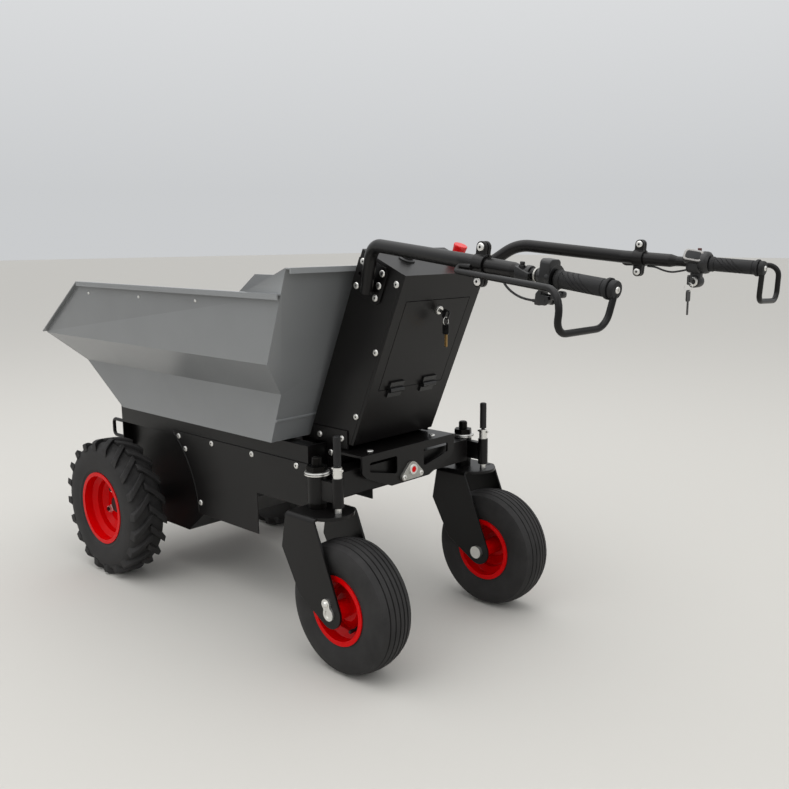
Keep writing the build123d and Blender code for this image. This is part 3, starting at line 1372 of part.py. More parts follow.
def cabinet_shell():
    """Sheet box with a door opening, an inner shelf and an open bottom."""
    shell = plate_xz(cabinet_outline(0), -CABINET_HALF, CABINET_HALF)
    inner = CABINET_HALF - CABINET_SHEET
    shell -= plate_xz(cabinet_outline(CABINET_SHEET), -inner, inner)
    frame = cabinet_frame()
    shelf = block(1, CABINET_DEPTH - 1, -inner - 1, inner + 1, -SHELF_DOWN - CABINET_SHEET, -SHELF_DOWN)
    shell += frame * shelf
    gap = DOOR_GAP
    sill = -DOOR_TOP - DOOR_HEIGHT - gap
    opening = block(-5, 2 * CABINET_SHEET, -DOOR_HALF - gap, DOOR_HALF + gap, sill, gap - DOOR_TOP)
    shell -= frame * opening
    seam = block(-1, SEAM_SETBACK, CABINET_HALF - SEAM_DEPTH, CABINET_HALF + 1, -2 * SHELF_DOWN, SHELF_DOWN)
    shell -= frame * seam
    shell -= frame * mirrored(seam)
    stem_hole = Pos(ESTOP_FORWARD, ESTOP_Y, 0) * Cylinder(ESTOP_STEM_R + 2, 6 * CABINET_SHEET)
    return shell - frame * stem_hole


def hinge_knuckle(y0, y1):
    """Barrel section of a door hinge along its pin."""
    low = DOOR_TOP + DOOR_HEIGHT + DOOR_GAP / 2
    return rod((-HINGE_R, y0, -low), (-HINGE_R, y1, -low), HINGE_R)


def hinge_leaf(y0, y1, upward):
    """Flat leaf of a hinge, above or below its pin, clear of the pin's barrel on the other leaf."""
    low = DOOR_TOP + DOOR_HEIGHT + DOOR_GAP / 2
    if upward:
        return block(-HINGE_LEAF_THICK, 0, y0, y1, -low + 1, -low + HINGE_LEAF)
    return block(-HINGE_LEAF_THICK, 0, y0, y1, -low - HINGE_LEAF, -low - 1)


def hinge_parts(centre):
    """Fixed leaf with two knuckles, and moving leaf with one knuckle and the pin."""
    half = HINGE_LENGTH / 2
    third = HINGE_LENGTH / 6
    bore = HINGE_PIN_R + RUNNING_GAP
    clear = HINGE_R + FREE_GAP
    low = DOOR_TOP + DOOR_HEIGHT + DOOR_GAP / 2
    fixed = hinge_leaf(centre - half, centre + half, False)
    room = third + FREE_GAP
    fixed -= rod((-HINGE_R, centre - room, -low), (-HINGE_R, centre + room, -low), clear)
    fixed += hinge_knuckle(centre - half, centre - room)
    fixed += hinge_knuckle(centre + room, centre + half)
    fixed -= rod((-HINGE_R, centre - half - 1, -low), (-HINGE_R, centre + half + 1, -low), bore)
    moving = hinge_leaf(centre - half, centre + half, True)
    for side in (-1, 1):
        moving -= rod(
            (-HINGE_R, centre + side * third, -low), (-HINGE_R, centre + side * (half + 1), -low), clear
        )
    moving += hinge_knuckle(centre - third, centre + third)
    moving += rod((-HINGE_R, centre - half, -low), (-HINGE_R, centre + half, -low), HINGE_PIN_R)
    return fixed, moving


def cabinet_door():
    """Flush door panel with a hole for the lock, and the moving hinge leaves."""
    frame = cabinet_frame()
    panel = block(0, CABINET_SHEET, -DOOR_HALF, DOOR_HALF, -DOOR_TOP - DOOR_HEIGHT, -DOOR_TOP)
    panel -= Pos(0, LOCK_Y, -LOCK_DOWN) * Rot(0, 90, 0) * Cylinder(LOCK_BARREL_R - 2, 20)
    leaves = [hinge_parts(side * HINGE_Y)[1] for side in (-1, 1)]
    return [frame * piece for piece in [panel] + leaves]


def door_lock():
    """Cam lock: flanged face outside, barrel inside."""
    face = Pos(-LOCK_BARREL_OUT, 0, 0) * Rot(0, 90, 0) * extrude(Circle(LOCK_BARREL_R), LOCK_BARREL_OUT)
    face = fillet(face.edges().sort_by(Axis.X)[0], 2)
    body = Rot(0, 90, 0) * extrude(Circle(LOCK_BARREL_R - 2), LOCK_BARREL_IN)
    return cabinet_frame() * Pos(0, LOCK_Y, -LOCK_DOWN) * (face + body)


def key_in_lock(frame):
    """Key that stands out of its lock along local Z; the ring hangs on its head, below the slot."""
    eye = KEY_STEM + KEY_HEAD * 0.66
    stem = Pos(0, 0, KEY_STEM / 2 + 0.1) * Box(KEY_THICK, KEY_STEM_WIDTH, KEY_STEM - 0.2)
    head = Pos(0, 0, KEY_STEM + KEY_HEAD / 2) * Box(KEY_THICK, KEY_HEAD, KEY_HEAD)
    head = fillet(head.edges().filter_by(Axis.X), KEY_ROUND)
    slot = Pos(0, 0, eye) * Box(4 * KEY_THICK, KEY_HEAD - 2 * KEY_STRIP, KEY_SLOT)
    down = 1 if frame.y_dir.Z < 0 else -1
    hang = Vector(0, down * (KEY_HEAD - KEY_STRIP) / 2, eye)
    return frame * (stem + head - slot), frame.from_local_coords(hang)


def hanging_spare(hang, across):
    """Split ring round the strip of the key's head and the spare key that hangs on it."""
    lift = hypot(KEY_STRIP, KEY_THICK) / 2 + KEY_WIRE_R + FREE_GAP
    centre = hang + Vector(0, 0, lift - KEY_RING_R)
    normal = Vector(0, 0, 1).cross(Vector(*across))
    ring_plane = Plane(origin=centre, x_dir=across, z_dir=normal)
    ring = ring_plane * Torus(KEY_RING_R, KEY_WIRE_R)
    flat = Plane(origin=centre - Vector(0, 0, KEY_RING_R), x_dir=across, z_dir=(0, 0, -1))
    hole = KEY_WIRE_R + FREE_GAP
    top = KEY_STRIP
    head = Pos(0, 0, SPARE_HEAD / 2 - top) * Box(KEY_THICK, 0.75 * SPARE_HEAD, SPARE_HEAD)
    head = fillet(head.edges().filter_by(Axis.X), KEY_ROUND)
    head -= Rot(0, 90, 0) * Cylinder(hole, 6 * KEY_THICK)
    blade = Box(SPARE_BLADE_THICK, SPARE_BLADE_WIDTH, SPARE_BLADE)
    blade = Pos(0, 0, SPARE_HEAD - top + SPARE_BLADE / 2) * blade
    return [ring, flat * head, flat * blade]


def estop():
    """Mushroom head on its stem, and the collar that holds it."""
    base = Plane(
        origin=cabinet_point(ESTOP_FORWARD, ESTOP_Y, 0),
        x_dir=(LEAN_COS, 0, LEAN_SIN),
        z_dir=(-LEAN_SIN, 0, LEAN_COS),
    )
    lift = ESTOP_COLLAR + ESTOP_TRAVEL + 2
    deep = 2 * ESTOP_COLLAR
    collar = extrude(Circle(ESTOP_HEAD_R - 1), ESTOP_COLLAR)
    collar += Pos(0, 0, -deep) * extrude(Circle(ESTOP_STEM_R + 2), deep)
    collar -= Cylinder(ESTOP_STEM_R + RUNNING_GAP, 3 * deep)
    head = turned([
        (0, lift),
        (ESTOP_HEAD_R - 3, lift),
        (ESTOP_HEAD_R, lift + 5),
        (ESTOP_HEAD_R - 1, lift + 13),
        (ESTOP_HEAD_R - 5, lift + 17),
        (0, lift + 18),
    ])
    head += Pos(0, 0, -ESTOP_STEM_R) * extrude(Circle(ESTOP_STEM_R), lift + ESTOP_STEM_R)
    return base * collar, base * head


def charge_socket():
    """Round charging socket with its screwed cap on the cabinet top."""
    base = Plane(
        origin=cabinet_point(SOCKET_FORWARD, SOCKET_Y, 0),
        x_dir=(LEAN_COS, 0, LEAN_SIN),
        z_dir=(-LEAN_SIN, 0, LEAN_COS),
    )
    flange = turned([(0, 0), (SOCKET_R, 0), (SOCKET_R, 3), (SOCKET_R - 4, 5), (0, 5)])
    cap = Pos(0, 0, 5) * extrude(Circle(SOCKET_R - 6), 9)
    cap = fillet(cap.edges().sort_by(Axis.Z)[-1], 2)
    return [base * flange, base * cap]


def add_cabinet():
    frame = cabinet_frame()
    nodes["cabinet_shell"] = [cabinet_shell()]
    nodes["cabinet_door"] = cabinet_door()
    nodes["door_hinges"] = [frame * hinge_parts(side * HINGE_Y)[0] for side in (-1, 1)]
    nodes["door_lock"] = [door_lock()]
    front = CABINET_DEPTH - CABINET_SHEET
    battery = Box(BATTERY_DEPTH, 2 * BATTERY_HALF, BATTERY_HEIGHT)
    nodes["battery_pack"] = [frame * Pos(CABINET_DEPTH / 2, 0, BATTERY_HEIGHT / 2 - SHELF_DOWN) * battery]
    controller = Box(CONTROLLER_THICK, 2 * CONTROLLER_HALF, CONTROLLER_HEIGHT)
    controller_z = -CONTROLLER_TOP - CONTROLLER_HEIGHT / 2
    nodes["motor_controller"] = [frame * Pos(front - CONTROLLER_THICK / 2, 0, controller_z) * controller]
    out = Plane(
        origin=cabinet_point(-LOCK_BARREL_OUT, LOCK_Y, LOCK_DOWN),
        x_dir=(0, 1, 0),
        z_dir=(-LEAN_COS, 0, -LEAN_SIN),
    )
    key, hang = key_in_lock(out)
    nodes["door_key"] = [key]
    nodes["door_spare_key"] = hanging_spare(hang, (0, 1, 0))
    collar, head = estop()
    nodes["top_fittings"] = [collar] + charge_socket()
    nodes["estop_head"] = [head]


# Handles and controls

def clamp_point(side):
    return Vector(station(CLAMP_X), side * CLAMP_Y, CLAMP_Z)


def bar_end(side):
    height = LEFT_BAR_END_Z if side > 0 else RIGHT_BAR_END_Z
    return Vector(station(BAR_END_X), side * BAR_END_Y, height)


def bar_frame(side):
    """Frame of a handlebar: X up, Z rearward along the bar, origin at the clamp."""
    along = (bar_end(side) - clamp_point(side)).normalized()
    up = (Vector(0, 0, 1) - along * along.Z).normalized()
    return Plane(origin=clamp_point(side), x_dir=up, z_dir=along)


def bar_length(side):
    return (bar_end(side) - clamp_point(side)).length


def tube_path(side):
    """Corners of the main tube: foot on the cabinet, upper bend, straight run into the clamp."""
    foot_y = CABINET_HALF + HANDLE_PLATE + TUBE_R - 2
    foot = cabinet_point(HANDLE_FOOT_FORWARD, side * foot_y, HANDLE_FOOT_DOWN)
    corner = (station(HANDLE_BEND_X), side * HANDLE_BEND_Y, HANDLE_BEND_Z)
    knee = bar_frame(side).from_local_coords(Vector(0, 0, -CLAMP_STRAIGHT))
    return [tuple(foot), corner, tuple(knee), tuple(clamp_point(side))]


def handle_tube(side):
    """Bolted foot plate with the bent main tube welded to it."""
    y0, y1 = CABINET_HALF, CABINET_HALF + HANDLE_PLATE
    depth = CABINET_DEPTH - 2
    plate = block(HANDLE_PLATE_REAR, depth, y0, y1, -HANDLE_PLATE_BOTTOM, -HANDLE_PLATE_TOP)
    plate = chamfer(plate.edges().filter_by(Axis.Y), HANDLE_PLATE_CORNER)
    middle = (HANDLE_PLATE_TOP + HANDLE_PLATE_BOTTOM) / 2
    open_hole = Pos(CABINET_DEPTH - FOOT_BOLT_INSET, y0, -middle) * Rot(90, 0, 0)
    plate -= open_hole * Cylinder(FOOT_HOLE_R, 4 * HANDLE_PLATE)
    plate = cabinet_frame() * plate
    plate = plate if side > 0 else mirrored(plate)
    tube = bent_rod(tube_path(side), TUBE_R, HANDLE_BEND_R)
    bore = bent_rod(tube_path(side), TUBE_R - TUBE_WALL, HANDLE_BEND_R)
    return plate + tube - (bore - plate)


def handlebar(side):
    """Rear bar: full tube, swaged down to the grip diameter."""
    length = bar_length(side)
    taper_end = BAR_TAPER_START + BAR_TAPER_LENGTH
    wall = TUBE_WALL
    outline = [
        (TUBE_R - wall, 0),
        (TUBE_R, 0),
        (TUBE_R, BAR_TAPER_START),
        (BAR_R, taper_end),
        (BAR_R, length),
        (BAR_R - wall, length),
        (BAR_R - wall, taper_end),
        (TUBE_R - wall, BAR_TAPER_START),
    ]
    return bar_frame(side) * turned(outline)


def clamp_halves(side):
    """Split clamp with ears above and below the tube, and its two bolts."""
    frame = bar_frame(side)
    half = CLAMP_LENGTH / 2
    reach = CLAMP_BOLT_SPACING / 2
    pieces = []
    for y_side in (-1, 1):
        shell = extrude(Circle(TUBE_R + CLAMP_WALL), half, both=True)
        low, high = sorted((y_side * CLAMP_SPLIT, y_side * CLAMP_EAR_HALF))
        shell += block(-reach, reach, low, high, -CLAMP_EAR_R, CLAMP_EAR_R)
        for lift in (-reach, reach):
            shell += Pos(lift, (low + high) / 2, 0) * Rot(90, 0, 0) * Cylinder(CLAMP_EAR_R, high - low)
        wide = 2 * CLAMP_BOLT_SPACING
        shell &= block(-wide, wide, y_side * CLAMP_SPLIT, y_side * wide, -wide, wide)
        shell -= Cylinder(TUBE_R, 3 * CLAMP_LENGTH)
        pieces.append(frame * shell)
    bolts = []
    for lift in (-reach, reach):
        bolts.append(frame * bolt((lift, CLAMP_EAR_HALF, 0), (0, 1, 0)))
        seat = Plane(origin=(lift, -CLAMP_EAR_HALF, 0), z_dir=(0, -1, 0))
        nut = seat * hexagon(CLAMP_NUT_ACROSS, CLAMP_NUT_HEIGHT)
        bolts.append(frame * nut)
    return pieces, bolts


def grip(side):
    """Rubber grip with a flange at its outer end."""
    length = bar_length(side)
    outline = [
        (BAR_R + RUNNING_GAP, length - GRIP_LENGTH),
        (GRIP_R + 1.5, length - GRIP_LENGTH),
        (GRIP_R + 1.5, length - GRIP_LENGTH + 6),
        (GRIP_R, length - GRIP_LENGTH + 9),
        (GRIP_R, length - GRIP_FLANGE - 4),
        (GRIP_FLANGE_R, length - GRIP_FLANGE),
        (GRIP_FLANGE_R, length - FREE_GAP),
        (BAR_R + RUNNING_GAP, length - FREE_GAP),
    ]
    return bar_frame(side) * turned(outline)


def guard_rod(side):
    """Hand guard: leaves the tube ahead of the clamp, bows outwards and loops to the bar end."""
    end = bar_end(side)
    frame = bar_frame(side)
    eye = frame.from_local_coords(Vector(0, 0, bar_length(side) + GUARD_EYE_THICK / 2))
    share = 1 - GUARD_LEAD / TUBE_REACH
    tube_y = HANDLE_BEND_Y + share * (CLAMP_Y - HANDLE_BEND_Y)
    tube_z = HANDLE_BEND_Z + share * (CLAMP_Z - HANDLE_BEND_Z)
    rise = end.Z - LEFT_BAR_END_Z
    lift = 0.65 * rise
    plane_x = eye.X
    points = [
        (station(CLAMP_X - GUARD_LEAD), side * (tube_y + GUARD_START_OUT), tube_z - GUARD_START_DROP),
        (plane_x + 14, side * GUARD_OUT_Y, GUARD_LOOP_TOP + lift),
        (plane_x + 14, side * GUARD_OUT_Y, GUARD_LOOP_BOTTOM + lift),
        (plane_x + 3, side * (BAR_END_Y + 14), GUARD_LOOP_BOTTOM + GUARD_LOOP_RISE + lift),
        (eye.X, eye.Y, eye.Z - GUARD_EYE_R + 3),
    ]
    body = bent_rod(points, GUARD_ROD_R, GUARD_BEND) - bent_rod(tube_path(side), TUBE_R, HANDLE_BEND_R)
    washer = frame * Pos(0, 0, bar_length(side)) * extrude(Circle(GUARD_EYE_R), GUARD_EYE_THICK)
    return body + washer


def bar_end_screw(side):
    seat = bar_frame(side).from_local_coords(Vector(0, 0, bar_length(side) + GUARD_EYE_THICK))
    along = bar_end(side) - clamp_point(side)
    return bolt(tuple(seat), tuple(along))


def foot_bolts():
    """Bolts of the left handle foot: three behind the tube, two ahead of it."""
    y = CABINET_HALF + HANDLE_PLATE
    middle = (HANDLE_PLATE_TOP + HANDLE_PLATE_BOTTOM) / 2
    pitch = FOOT_BOLT_PITCH
    places = [(HANDLE_PLATE_REAR + FOOT_BOLT_INSET - 2, middle + step) for step in (-pitch, 0, pitch)]
    places += [(CABINET_DEPTH - FOOT_BOLT_INSET, middle + step) for step in (-pitch, pitch)]
    return [bolt(cabinet_point(forward, y, down), (0, 1, 0)) for forward, down in places]


def left_controls():
    """Wedge switch, square switch housing and lever perch on the left bar."""
    frame = bar_frame(1)
    bore = Cylinder(BAR_R, 2 * BAR_REACH)
    start, end = SWITCH_START, SWITCH_START + SWITCH_LENGTH
    wedge = Pos(0, 0, start) * extrude(Circle(BAR_R + SWITCH_COLLAR), SWITCH_LENGTH)
    side_view = make_face(Polyline(
        (BAR_R - SWITCH_SINK, start - 6),
        (BAR_R + SWITCH_HEIGHT, start - 6),
        (BAR_R + SWITCH_HEIGHT + 2, start + 3),
        (BAR_R - SWITCH_SINK, end + 8),
        close=True,
    ))
    wedge += extrude(Plane.XZ * side_view, SWITCH_HALF, both=True)
    wedge -= bore
    seat = Pos(BAR_R + SWITCH_SEAT, 0, start - 1) * Rot(0, 90, 0)
    wedge -= seat * extrude(Circle(BUTTON_R + FREE_GAP), SWITCH_HEIGHT)
    start, end = HOUSING_START, HOUSING_START + HOUSING_LENGTH
    housing = Pos(0, 0, (start + end) / 2) * Box(HOUSING_HEIGHT, HOUSING_WIDTH, HOUSING_LENGTH)
    housing = fillet(housing.edges().filter_by(Axis.Z), HOUSING_ROUND)
    housing = chamfer(housing.edges().group_by(Axis.Z)[0], HOUSING_CHAMFER) - bore
    half = PERCH_HALF
    perch_end = start + PERCH_LENGTH
    perch = block(-PERCH_DROP, -HOUSING_HEIGHT / 2, -half, half, start - 2, perch_end)
    perch = fillet(perch.edges().filter_by(Axis.Z).group_by(Axis.X)[0], half / 2)
    pin_x, pin_z = lever_pivot()
    inner = LEVER_HALF + CABLE_GAP
    for side in (-1, 1):
        cheek = block(pin_x - 9, pin_x + 9, side * inner, side * half, perch_end - 1, pin_z)
        cheek += rod((pin_x, side * inner, pin_z), (pin_x, side * half, pin_z), 9)
        perch += cheek
    perch += rod((pin_x, -half, pin_z), (pin_x, half, pin_z), LEVER_PIN_R)
    return [frame * piece for piece in (wedge, housing, perch)]


def lever_pivot():
    """Place of the thumb lever's pin in the left bar's frame: below the bar, along the bar."""
    return -LEVER_DROP, HOUSING_START + LEVER_SETBACK


def thumb_lever():
    """Cranked lever: a round hub on its pin and a thumb pad that turns up at the end."""
    pin_x, pin_z = lever_pivot()
    half = LEVER_HALF
    tip = pin_z + LEVER_LENGTH
    side_view = make_face(Polyline(
        (pin_x - 5, pin_z),
        (pin_x - 4, tip - 12),
        (pin_x + 4, tip),
        (pin_x + 12, tip + 2),
        (pin_x + 13, tip - 4),
        (pin_x + 6, tip - 14),
        (pin_x + 5, pin_z),
        close=True,
    ))
    lever = extrude(Plane.XZ * side_view, half, both=True)
    lever += rod((pin_x, -half, pin_z), (pin_x, half, pin_z), LEVER_HUB_R)
    far = 2 * half
    lever -= rod((pin_x, -far, pin_z), (pin_x, far, pin_z), LEVER_PIN_R + RUNNING_GAP)
    return bar_frame(1) * lever


def left_button():
    """Round knob on the wedge switch."""
    base = Pos(BAR_R + SWITCH_SEAT + BUTTON_TRAVEL + 0.5, 0, SWITCH_START - 1) * Rot(0, 90, 0)
    knob = base * extrude(Circle(BUTTON_R), BUTTON_TRAVEL + BUTTON_HEIGHT)
    return bar_frame(1) * knob


def throttle_housing():
    """Throttle body with a tilted display on top, and the key switch below it."""
    frame = bar_frame(-1)
    bore = Cylinder(BAR_R, 2 * BAR_REACH)
    start, end = THROTTLE_START, THROTTLE_START + THROTTLE_LENGTH
    height = THROTTLE_HEIGHT
    body = Pos(0, 0, (start + end) / 2) * Box(height, THROTTLE_WIDTH, THROTTLE_LENGTH)
    body = fillet(body.edges().filter_by(Axis.Z), THROTTLE_ROUND)
    body += Pos(0, 0, end - THROTTLE_NECK) * extrude(Circle(height / 2 + 2), THROTTLE_NECK)
    front, back = start - DISPLAY_LEAD, end - THROTTLE_NECK
    low, high = height / 2 - 5, DISPLAY_TOP
    head = make_face(Polyline(
        (low, front),
        (high, front),
        (high + DISPLAY_TILT, back),
        (low, back),
        close=True,
    ))
    head = extrude(Plane.XZ * head, DISPLAY_HALF, both=True)
    body += fillet(head.edges().filter_by(Axis.X), DISPLAY_ROUND)
    run = hypot(back - front, DISPLAY_TILT)
    tilt = Plane(origin=(high, 0, front), x_dir=(0, 1, 0), z_dir=(back - front, 0, -DISPLAY_TILT))
    window = Box(1.5 * DISPLAY_HALF, run * 0.56, 4 * GLASS_SINK)
    pane = Box(1.5 * DISPLAY_HALF - 2 * CABLE_GAP, run * 0.56 - 2 * CABLE_GAP, GLASS_SINK)
    body -= tilt * Pos(0, run * 0.42, GLASS_SINK) * window
    glass = tilt * Pos(0, run * 0.42, -GLASS_SINK / 2) * pane
    button_z = end - RED_BUTTON_INSET
    body -= Pos(high, 0, button_z) * Rot(0, 90, 0) * Cylinder(BUTTON_R + FREE_GAP, 2 * DISPLAY_TOP)
    lock_z = (start + end) / 2 - 4
    lock_x = -IGNITION_DROP
    lock_r = IGNITION_R
    body += block(7 - IGNITION_DROP, 3 - height / 2, 2 - lock_r, lock_r - 2, lock_z - 12, lock_z + 12)
    barrel = rod((lock_x, -IGNITION_BACK, lock_z), (lock_x, lock_r, lock_z), lock_r)
    barrel = fillet(barrel.edges().sort_by(Axis.Y)[0], 3)
    body = body + barrel - bore
    face_y = lock_r + IGNITION_FACE
    face = rod((lock_x, lock_r, lock_z), (lock_x, face_y, lock_z), lock_r - 3)
    lock_face = frame.from_local_coords(Vector(lock_x, face_y, lock_z))
    return [frame * body, frame * glass, frame * face], lock_face


def red_button():
    end = THROTTLE_START + THROTTLE_LENGTH
    base = Pos(THROTTLE_HEIGHT / 2 + 1, 0, end - RED_BUTTON_INSET) * Rot(0, 90, 0)
    knob = base * extrude(Circle(BUTTON_R), RED_BUTTON_HEIGHT)
    return bar_frame(-1) * knob


def cable(side):
    """Control cable: leaves the underside of the bar and sags into its control."""
    frame = bar_frame(side)
    under = -TUBE_R - CABLE_R - CABLE_GAP
    if side > 0:
        end = HOUSING_START - 2 - CABLE_GAP
        places = [(under, 28), (under, 48), (-34, 66), (-43, 87), (-46.5, 108), (-46, end)]
    else:
        end = THROTTLE_START - 4 * CABLE_GAP
        places = [(under, 22), (under, 42), (-24, 62), (-26.5, 83), (-22, 103), (-17, end)]
    points = [tuple(frame.from_local_coords(Vector(drop, 0, along))) for drop, along in places]
    return bent_rod(points, CABLE_R, 0)


def add_handles():
    nodes["left_handle"] = [handle_tube(1)]
    nodes["right_handle"] = [handle_tube(-1)]
    nodes["handlebars"] = [handlebar(side) for side in (1, -1)]
    left_clamp, left_bolts = clamp_halves(1)
    right_clamp, right_bolts = clamp_halves(-1)
    nodes["handle_clamps"] = left_clamp + right_clamp
    feet = foot_bolts()
    screws = [bar_end_screw(side) for side in (1, -1)]
    nodes["handle_bolts"] = left_bolts + right_bolts + feet + [mirrored(head) for head in feet] + screws
    nodes["guard_rods"] = [guard_rod(side) for side in (1, -1)]
    nodes["left_grip"] = [grip(1)]
    nodes["throttle_grip"] = [grip(-1)]
    nodes["left_controls"] = left_controls()
    nodes["thumb_lever"] = [thumb_lever()]
    nodes["left_button"] = [left_button()]
    housing, lock_face = throttle_housing()
    nodes["throttle_housing"] = housing
    nodes["red_button"] = [red_button()]
    out = bar_frame(-1).y_dir
    level = Vector(out.X, out.Y, 0).normalized()
    side_dir = Vector(0, 0, 1).cross(level)
    key, hang = key_in_lock(Plane(origin=lock_face, x_dir=side_dir, z_dir=level))
    nodes["ignition_key"] = [key]
    nodes["ignition_spare_key"] = hanging_spare(hang, tuple(side_dir))
    nodes["handle_cables"] = [cable(side) for side in (1, -1)]


def save():
    """One STEP file per node."""
    os.makedirs("parts", exist_ok=True)
    for name, pieces in nodes.items():
        solids = [solid for piece in pieces for solid in piece.solids()]
        shape = solids[0] if len(solids) == 1 else Compound(children=solids)
        export_step(shape, f"parts/{name}.step")
        print(name, len(solids))


add_wheels()
add_rear_axle()
add_chassis()
add_hopper()
add_cabinet()
add_handles()
save()
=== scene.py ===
import json
from math import cos, hypot, pi, radians, sin, tan

import bpy
from mathutils import Matrix, Vector


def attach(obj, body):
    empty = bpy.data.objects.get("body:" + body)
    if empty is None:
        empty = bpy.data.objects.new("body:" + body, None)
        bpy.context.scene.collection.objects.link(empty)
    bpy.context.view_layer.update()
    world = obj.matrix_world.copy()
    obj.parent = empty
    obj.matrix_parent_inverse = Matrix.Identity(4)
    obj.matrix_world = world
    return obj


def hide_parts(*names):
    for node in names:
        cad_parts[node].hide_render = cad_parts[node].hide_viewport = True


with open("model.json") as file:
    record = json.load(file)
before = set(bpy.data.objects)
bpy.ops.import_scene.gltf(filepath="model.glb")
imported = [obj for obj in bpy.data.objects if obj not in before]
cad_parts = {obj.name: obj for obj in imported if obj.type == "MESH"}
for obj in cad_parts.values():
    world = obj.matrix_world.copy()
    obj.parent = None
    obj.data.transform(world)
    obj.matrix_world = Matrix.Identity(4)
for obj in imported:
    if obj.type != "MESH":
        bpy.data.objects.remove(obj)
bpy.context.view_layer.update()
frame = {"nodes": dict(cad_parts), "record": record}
nodes = frame["nodes"]
print("frame loaded:", len(nodes), "nodes")


def linearColour(code):
    parts = [int(code[i:i + 2], 16) / 255 for i in (1, 3, 5)]
    return tuple(p / 12.92 if p <= 0.04045 else ((p + 0.055) / 1.055) ** 2.4 for p in parts) + (1.0,)


def shadeOf(code, factor):
    return tuple(min(1.0, v * factor) for v in linearColour(code)[:3]) + (1.0,)


def addNode(tree, kind, inputs=None, feeds=None, **settings):
    node = tree.nodes.new(kind)
    for key, value in settings.items():
        setattr(node, key, value)
    for name, value in (inputs or {}).items():
        if isinstance(value, bpy.types.NodeSocket):
            tree.links.new(value, node.inputs[name])
        else:
            node.inputs[name].default_value = value
    for output, socket in (feeds or {}).items():
        tree.links.new(node.outputs[output], socket)
    return node


def startMaterial(name, **values):
    material = bpy.data.materials.new(name)
    material.use_nodes = True
    tree = material.node_tree
    shader = tree.nodes["Principled BSDF"]
    for socket, value in values.items():
        shader.inputs[socket.replace("_", " ")].default_value = value
    spot = addNode(tree, "ShaderNodeTexCoord").outputs["Object"]
    return material, tree, shader, spot


# camera: fitted to the photograph, in metres and degrees
cameraPlace = {
    "spot": (-1.7532, 1.6007, 1.0124),
    "yaw": -48.10,
    "pitch": -10.38,
    "roll": -0.17,
    "focalPixels": 877.7,
    "imagePixels": 789,
    "principal": (426.2, 397.7),
}


def makeCamera(c):
    data = bpy.data.cameras.new("photoCamera")
    data.sensor_width = 36
    data.lens = c["focalPixels"] / c["imagePixels"] * data.sensor_width
    half = c["imagePixels"] / 2
    data.shift_x = -(c["principal"][0] - half) / c["imagePixels"]
    data.shift_y = (c["principal"][1] - half) / c["imagePixels"]
    camera = bpy.data.objects.new("photoCamera", data)
    bpy.context.collection.objects.link(camera)
    yaw, pitch = radians(c["yaw"]), radians(c["pitch"])
    ahead = Vector((cos(yaw) * cos(pitch), sin(yaw) * cos(pitch), sin(pitch)))
    turn = ahead.to_track_quat("-Z", "Y").to_matrix() @ Matrix.Rotation(radians(c["roll"]), 3, "Z")
    camera.rotation_mode = "QUATERNION"
    camera.rotation_quaternion = turn.to_quaternion()
    camera.location = c["spot"]
    bpy.context.scene.camera = camera


makeCamera(cameraPlace)
print("camera placed")

# pale floor and soft studio light; the sky brightens from the horizon up
studio = {
    "floorColour": "#c2c0bb",
    "floorSize": 80,
    "horizonColour": "#dfe1e3",
    "zenithColour": "#ffffff",
    "horizonStrength": 0.8,
    "zenithStrength": 1.15,
    "horizonHeight": 0.05,
    "zenithHeight": 0.9,
    "softboxes": {
        "softboxAbove": {"spot": (0.4, 0.6, 5.0), "target": (0, 0, 0.3), "size": (6.0, 6.0), "watts": 130},
        "softboxLeft": {"spot": (1.6, 4.6, 3.6), "target": (0.3, 0, 0.6), "size": (4.0, 2.0), "watts": 25},
        "softboxRear": {"spot": (-4.6, 0.8, 3.4), "target": (-0.4, 0, 0.7), "size": (2.4, 1.6), "watts": 18},
    },
}


def makeStudio(c):
    bpy.ops.object.select_all(action="DESELECT")
    bpy.ops.mesh.primitive_plane_add(size=c["floorSize"], location=(0, 0, 0))
    floor = bpy.context.object
    floor.name = "studioFloor"
    paint = startMaterial("paleFloor", Roughness=0.9, Base_Color=linearColour(c["floorColour"]))[0]
    floor.data.materials.append(paint)
    world = bpy.data.worlds.new("studioSky")
    world.use_nodes = True
    tree = world.node_tree
    sky = tree.nodes["Background"]
    ray = addNode(tree, "ShaderNodeTexCoord").outputs["Generated"]
    height = addNode(tree, "ShaderNodeSeparateXYZ", {"Vector": ray})
    rise = addNode(tree, "ShaderNodeMapRange", {
        "Value": height.outputs["Z"], "From Min": c["horizonHeight"], "From Max": c["zenithHeight"],
    })
    blend = addNode(tree, "ShaderNodeValToRGB", {
        "Fac": rise.outputs["Result"],
    }, {"Color": sky.inputs["Color"]})
    blend.color_ramp.elements[0].color = shadeOf(c["horizonColour"], c["horizonStrength"])
    blend.color_ramp.elements[1].color = shadeOf(c["zenithColour"], c["horizonStrength"])
    addNode(tree, "ShaderNodeMapRange", {
        "Value": rise.outputs["Result"], "To Min": 1.0, "To Max": c["zenithStrength"] / c["horizonStrength"],
    }, {"Result": sky.inputs["Strength"]})
    bpy.context.scene.world = world
    for name, box in c["softboxes"].items():
        data = bpy.data.lights.new(name, "AREA")
        data.energy = box["watts"]
        data.shape = "RECTANGLE"
        data.size, data.size_y = box["size"]
        light = bpy.data.objects.new(name, data)
        bpy.context.collection.objects.link(light)
        light.location = box["spot"]
        light.rotation_mode = "QUATERNION"
        light.rotation_quaternion = (Vector(box["target"]) - Vector(box["spot"])).to_track_quat("-Z", "Y")
    bpy.context.scene.view_settings.view_transform = "Standard"


makeStudio(studio)
print("studio lit")

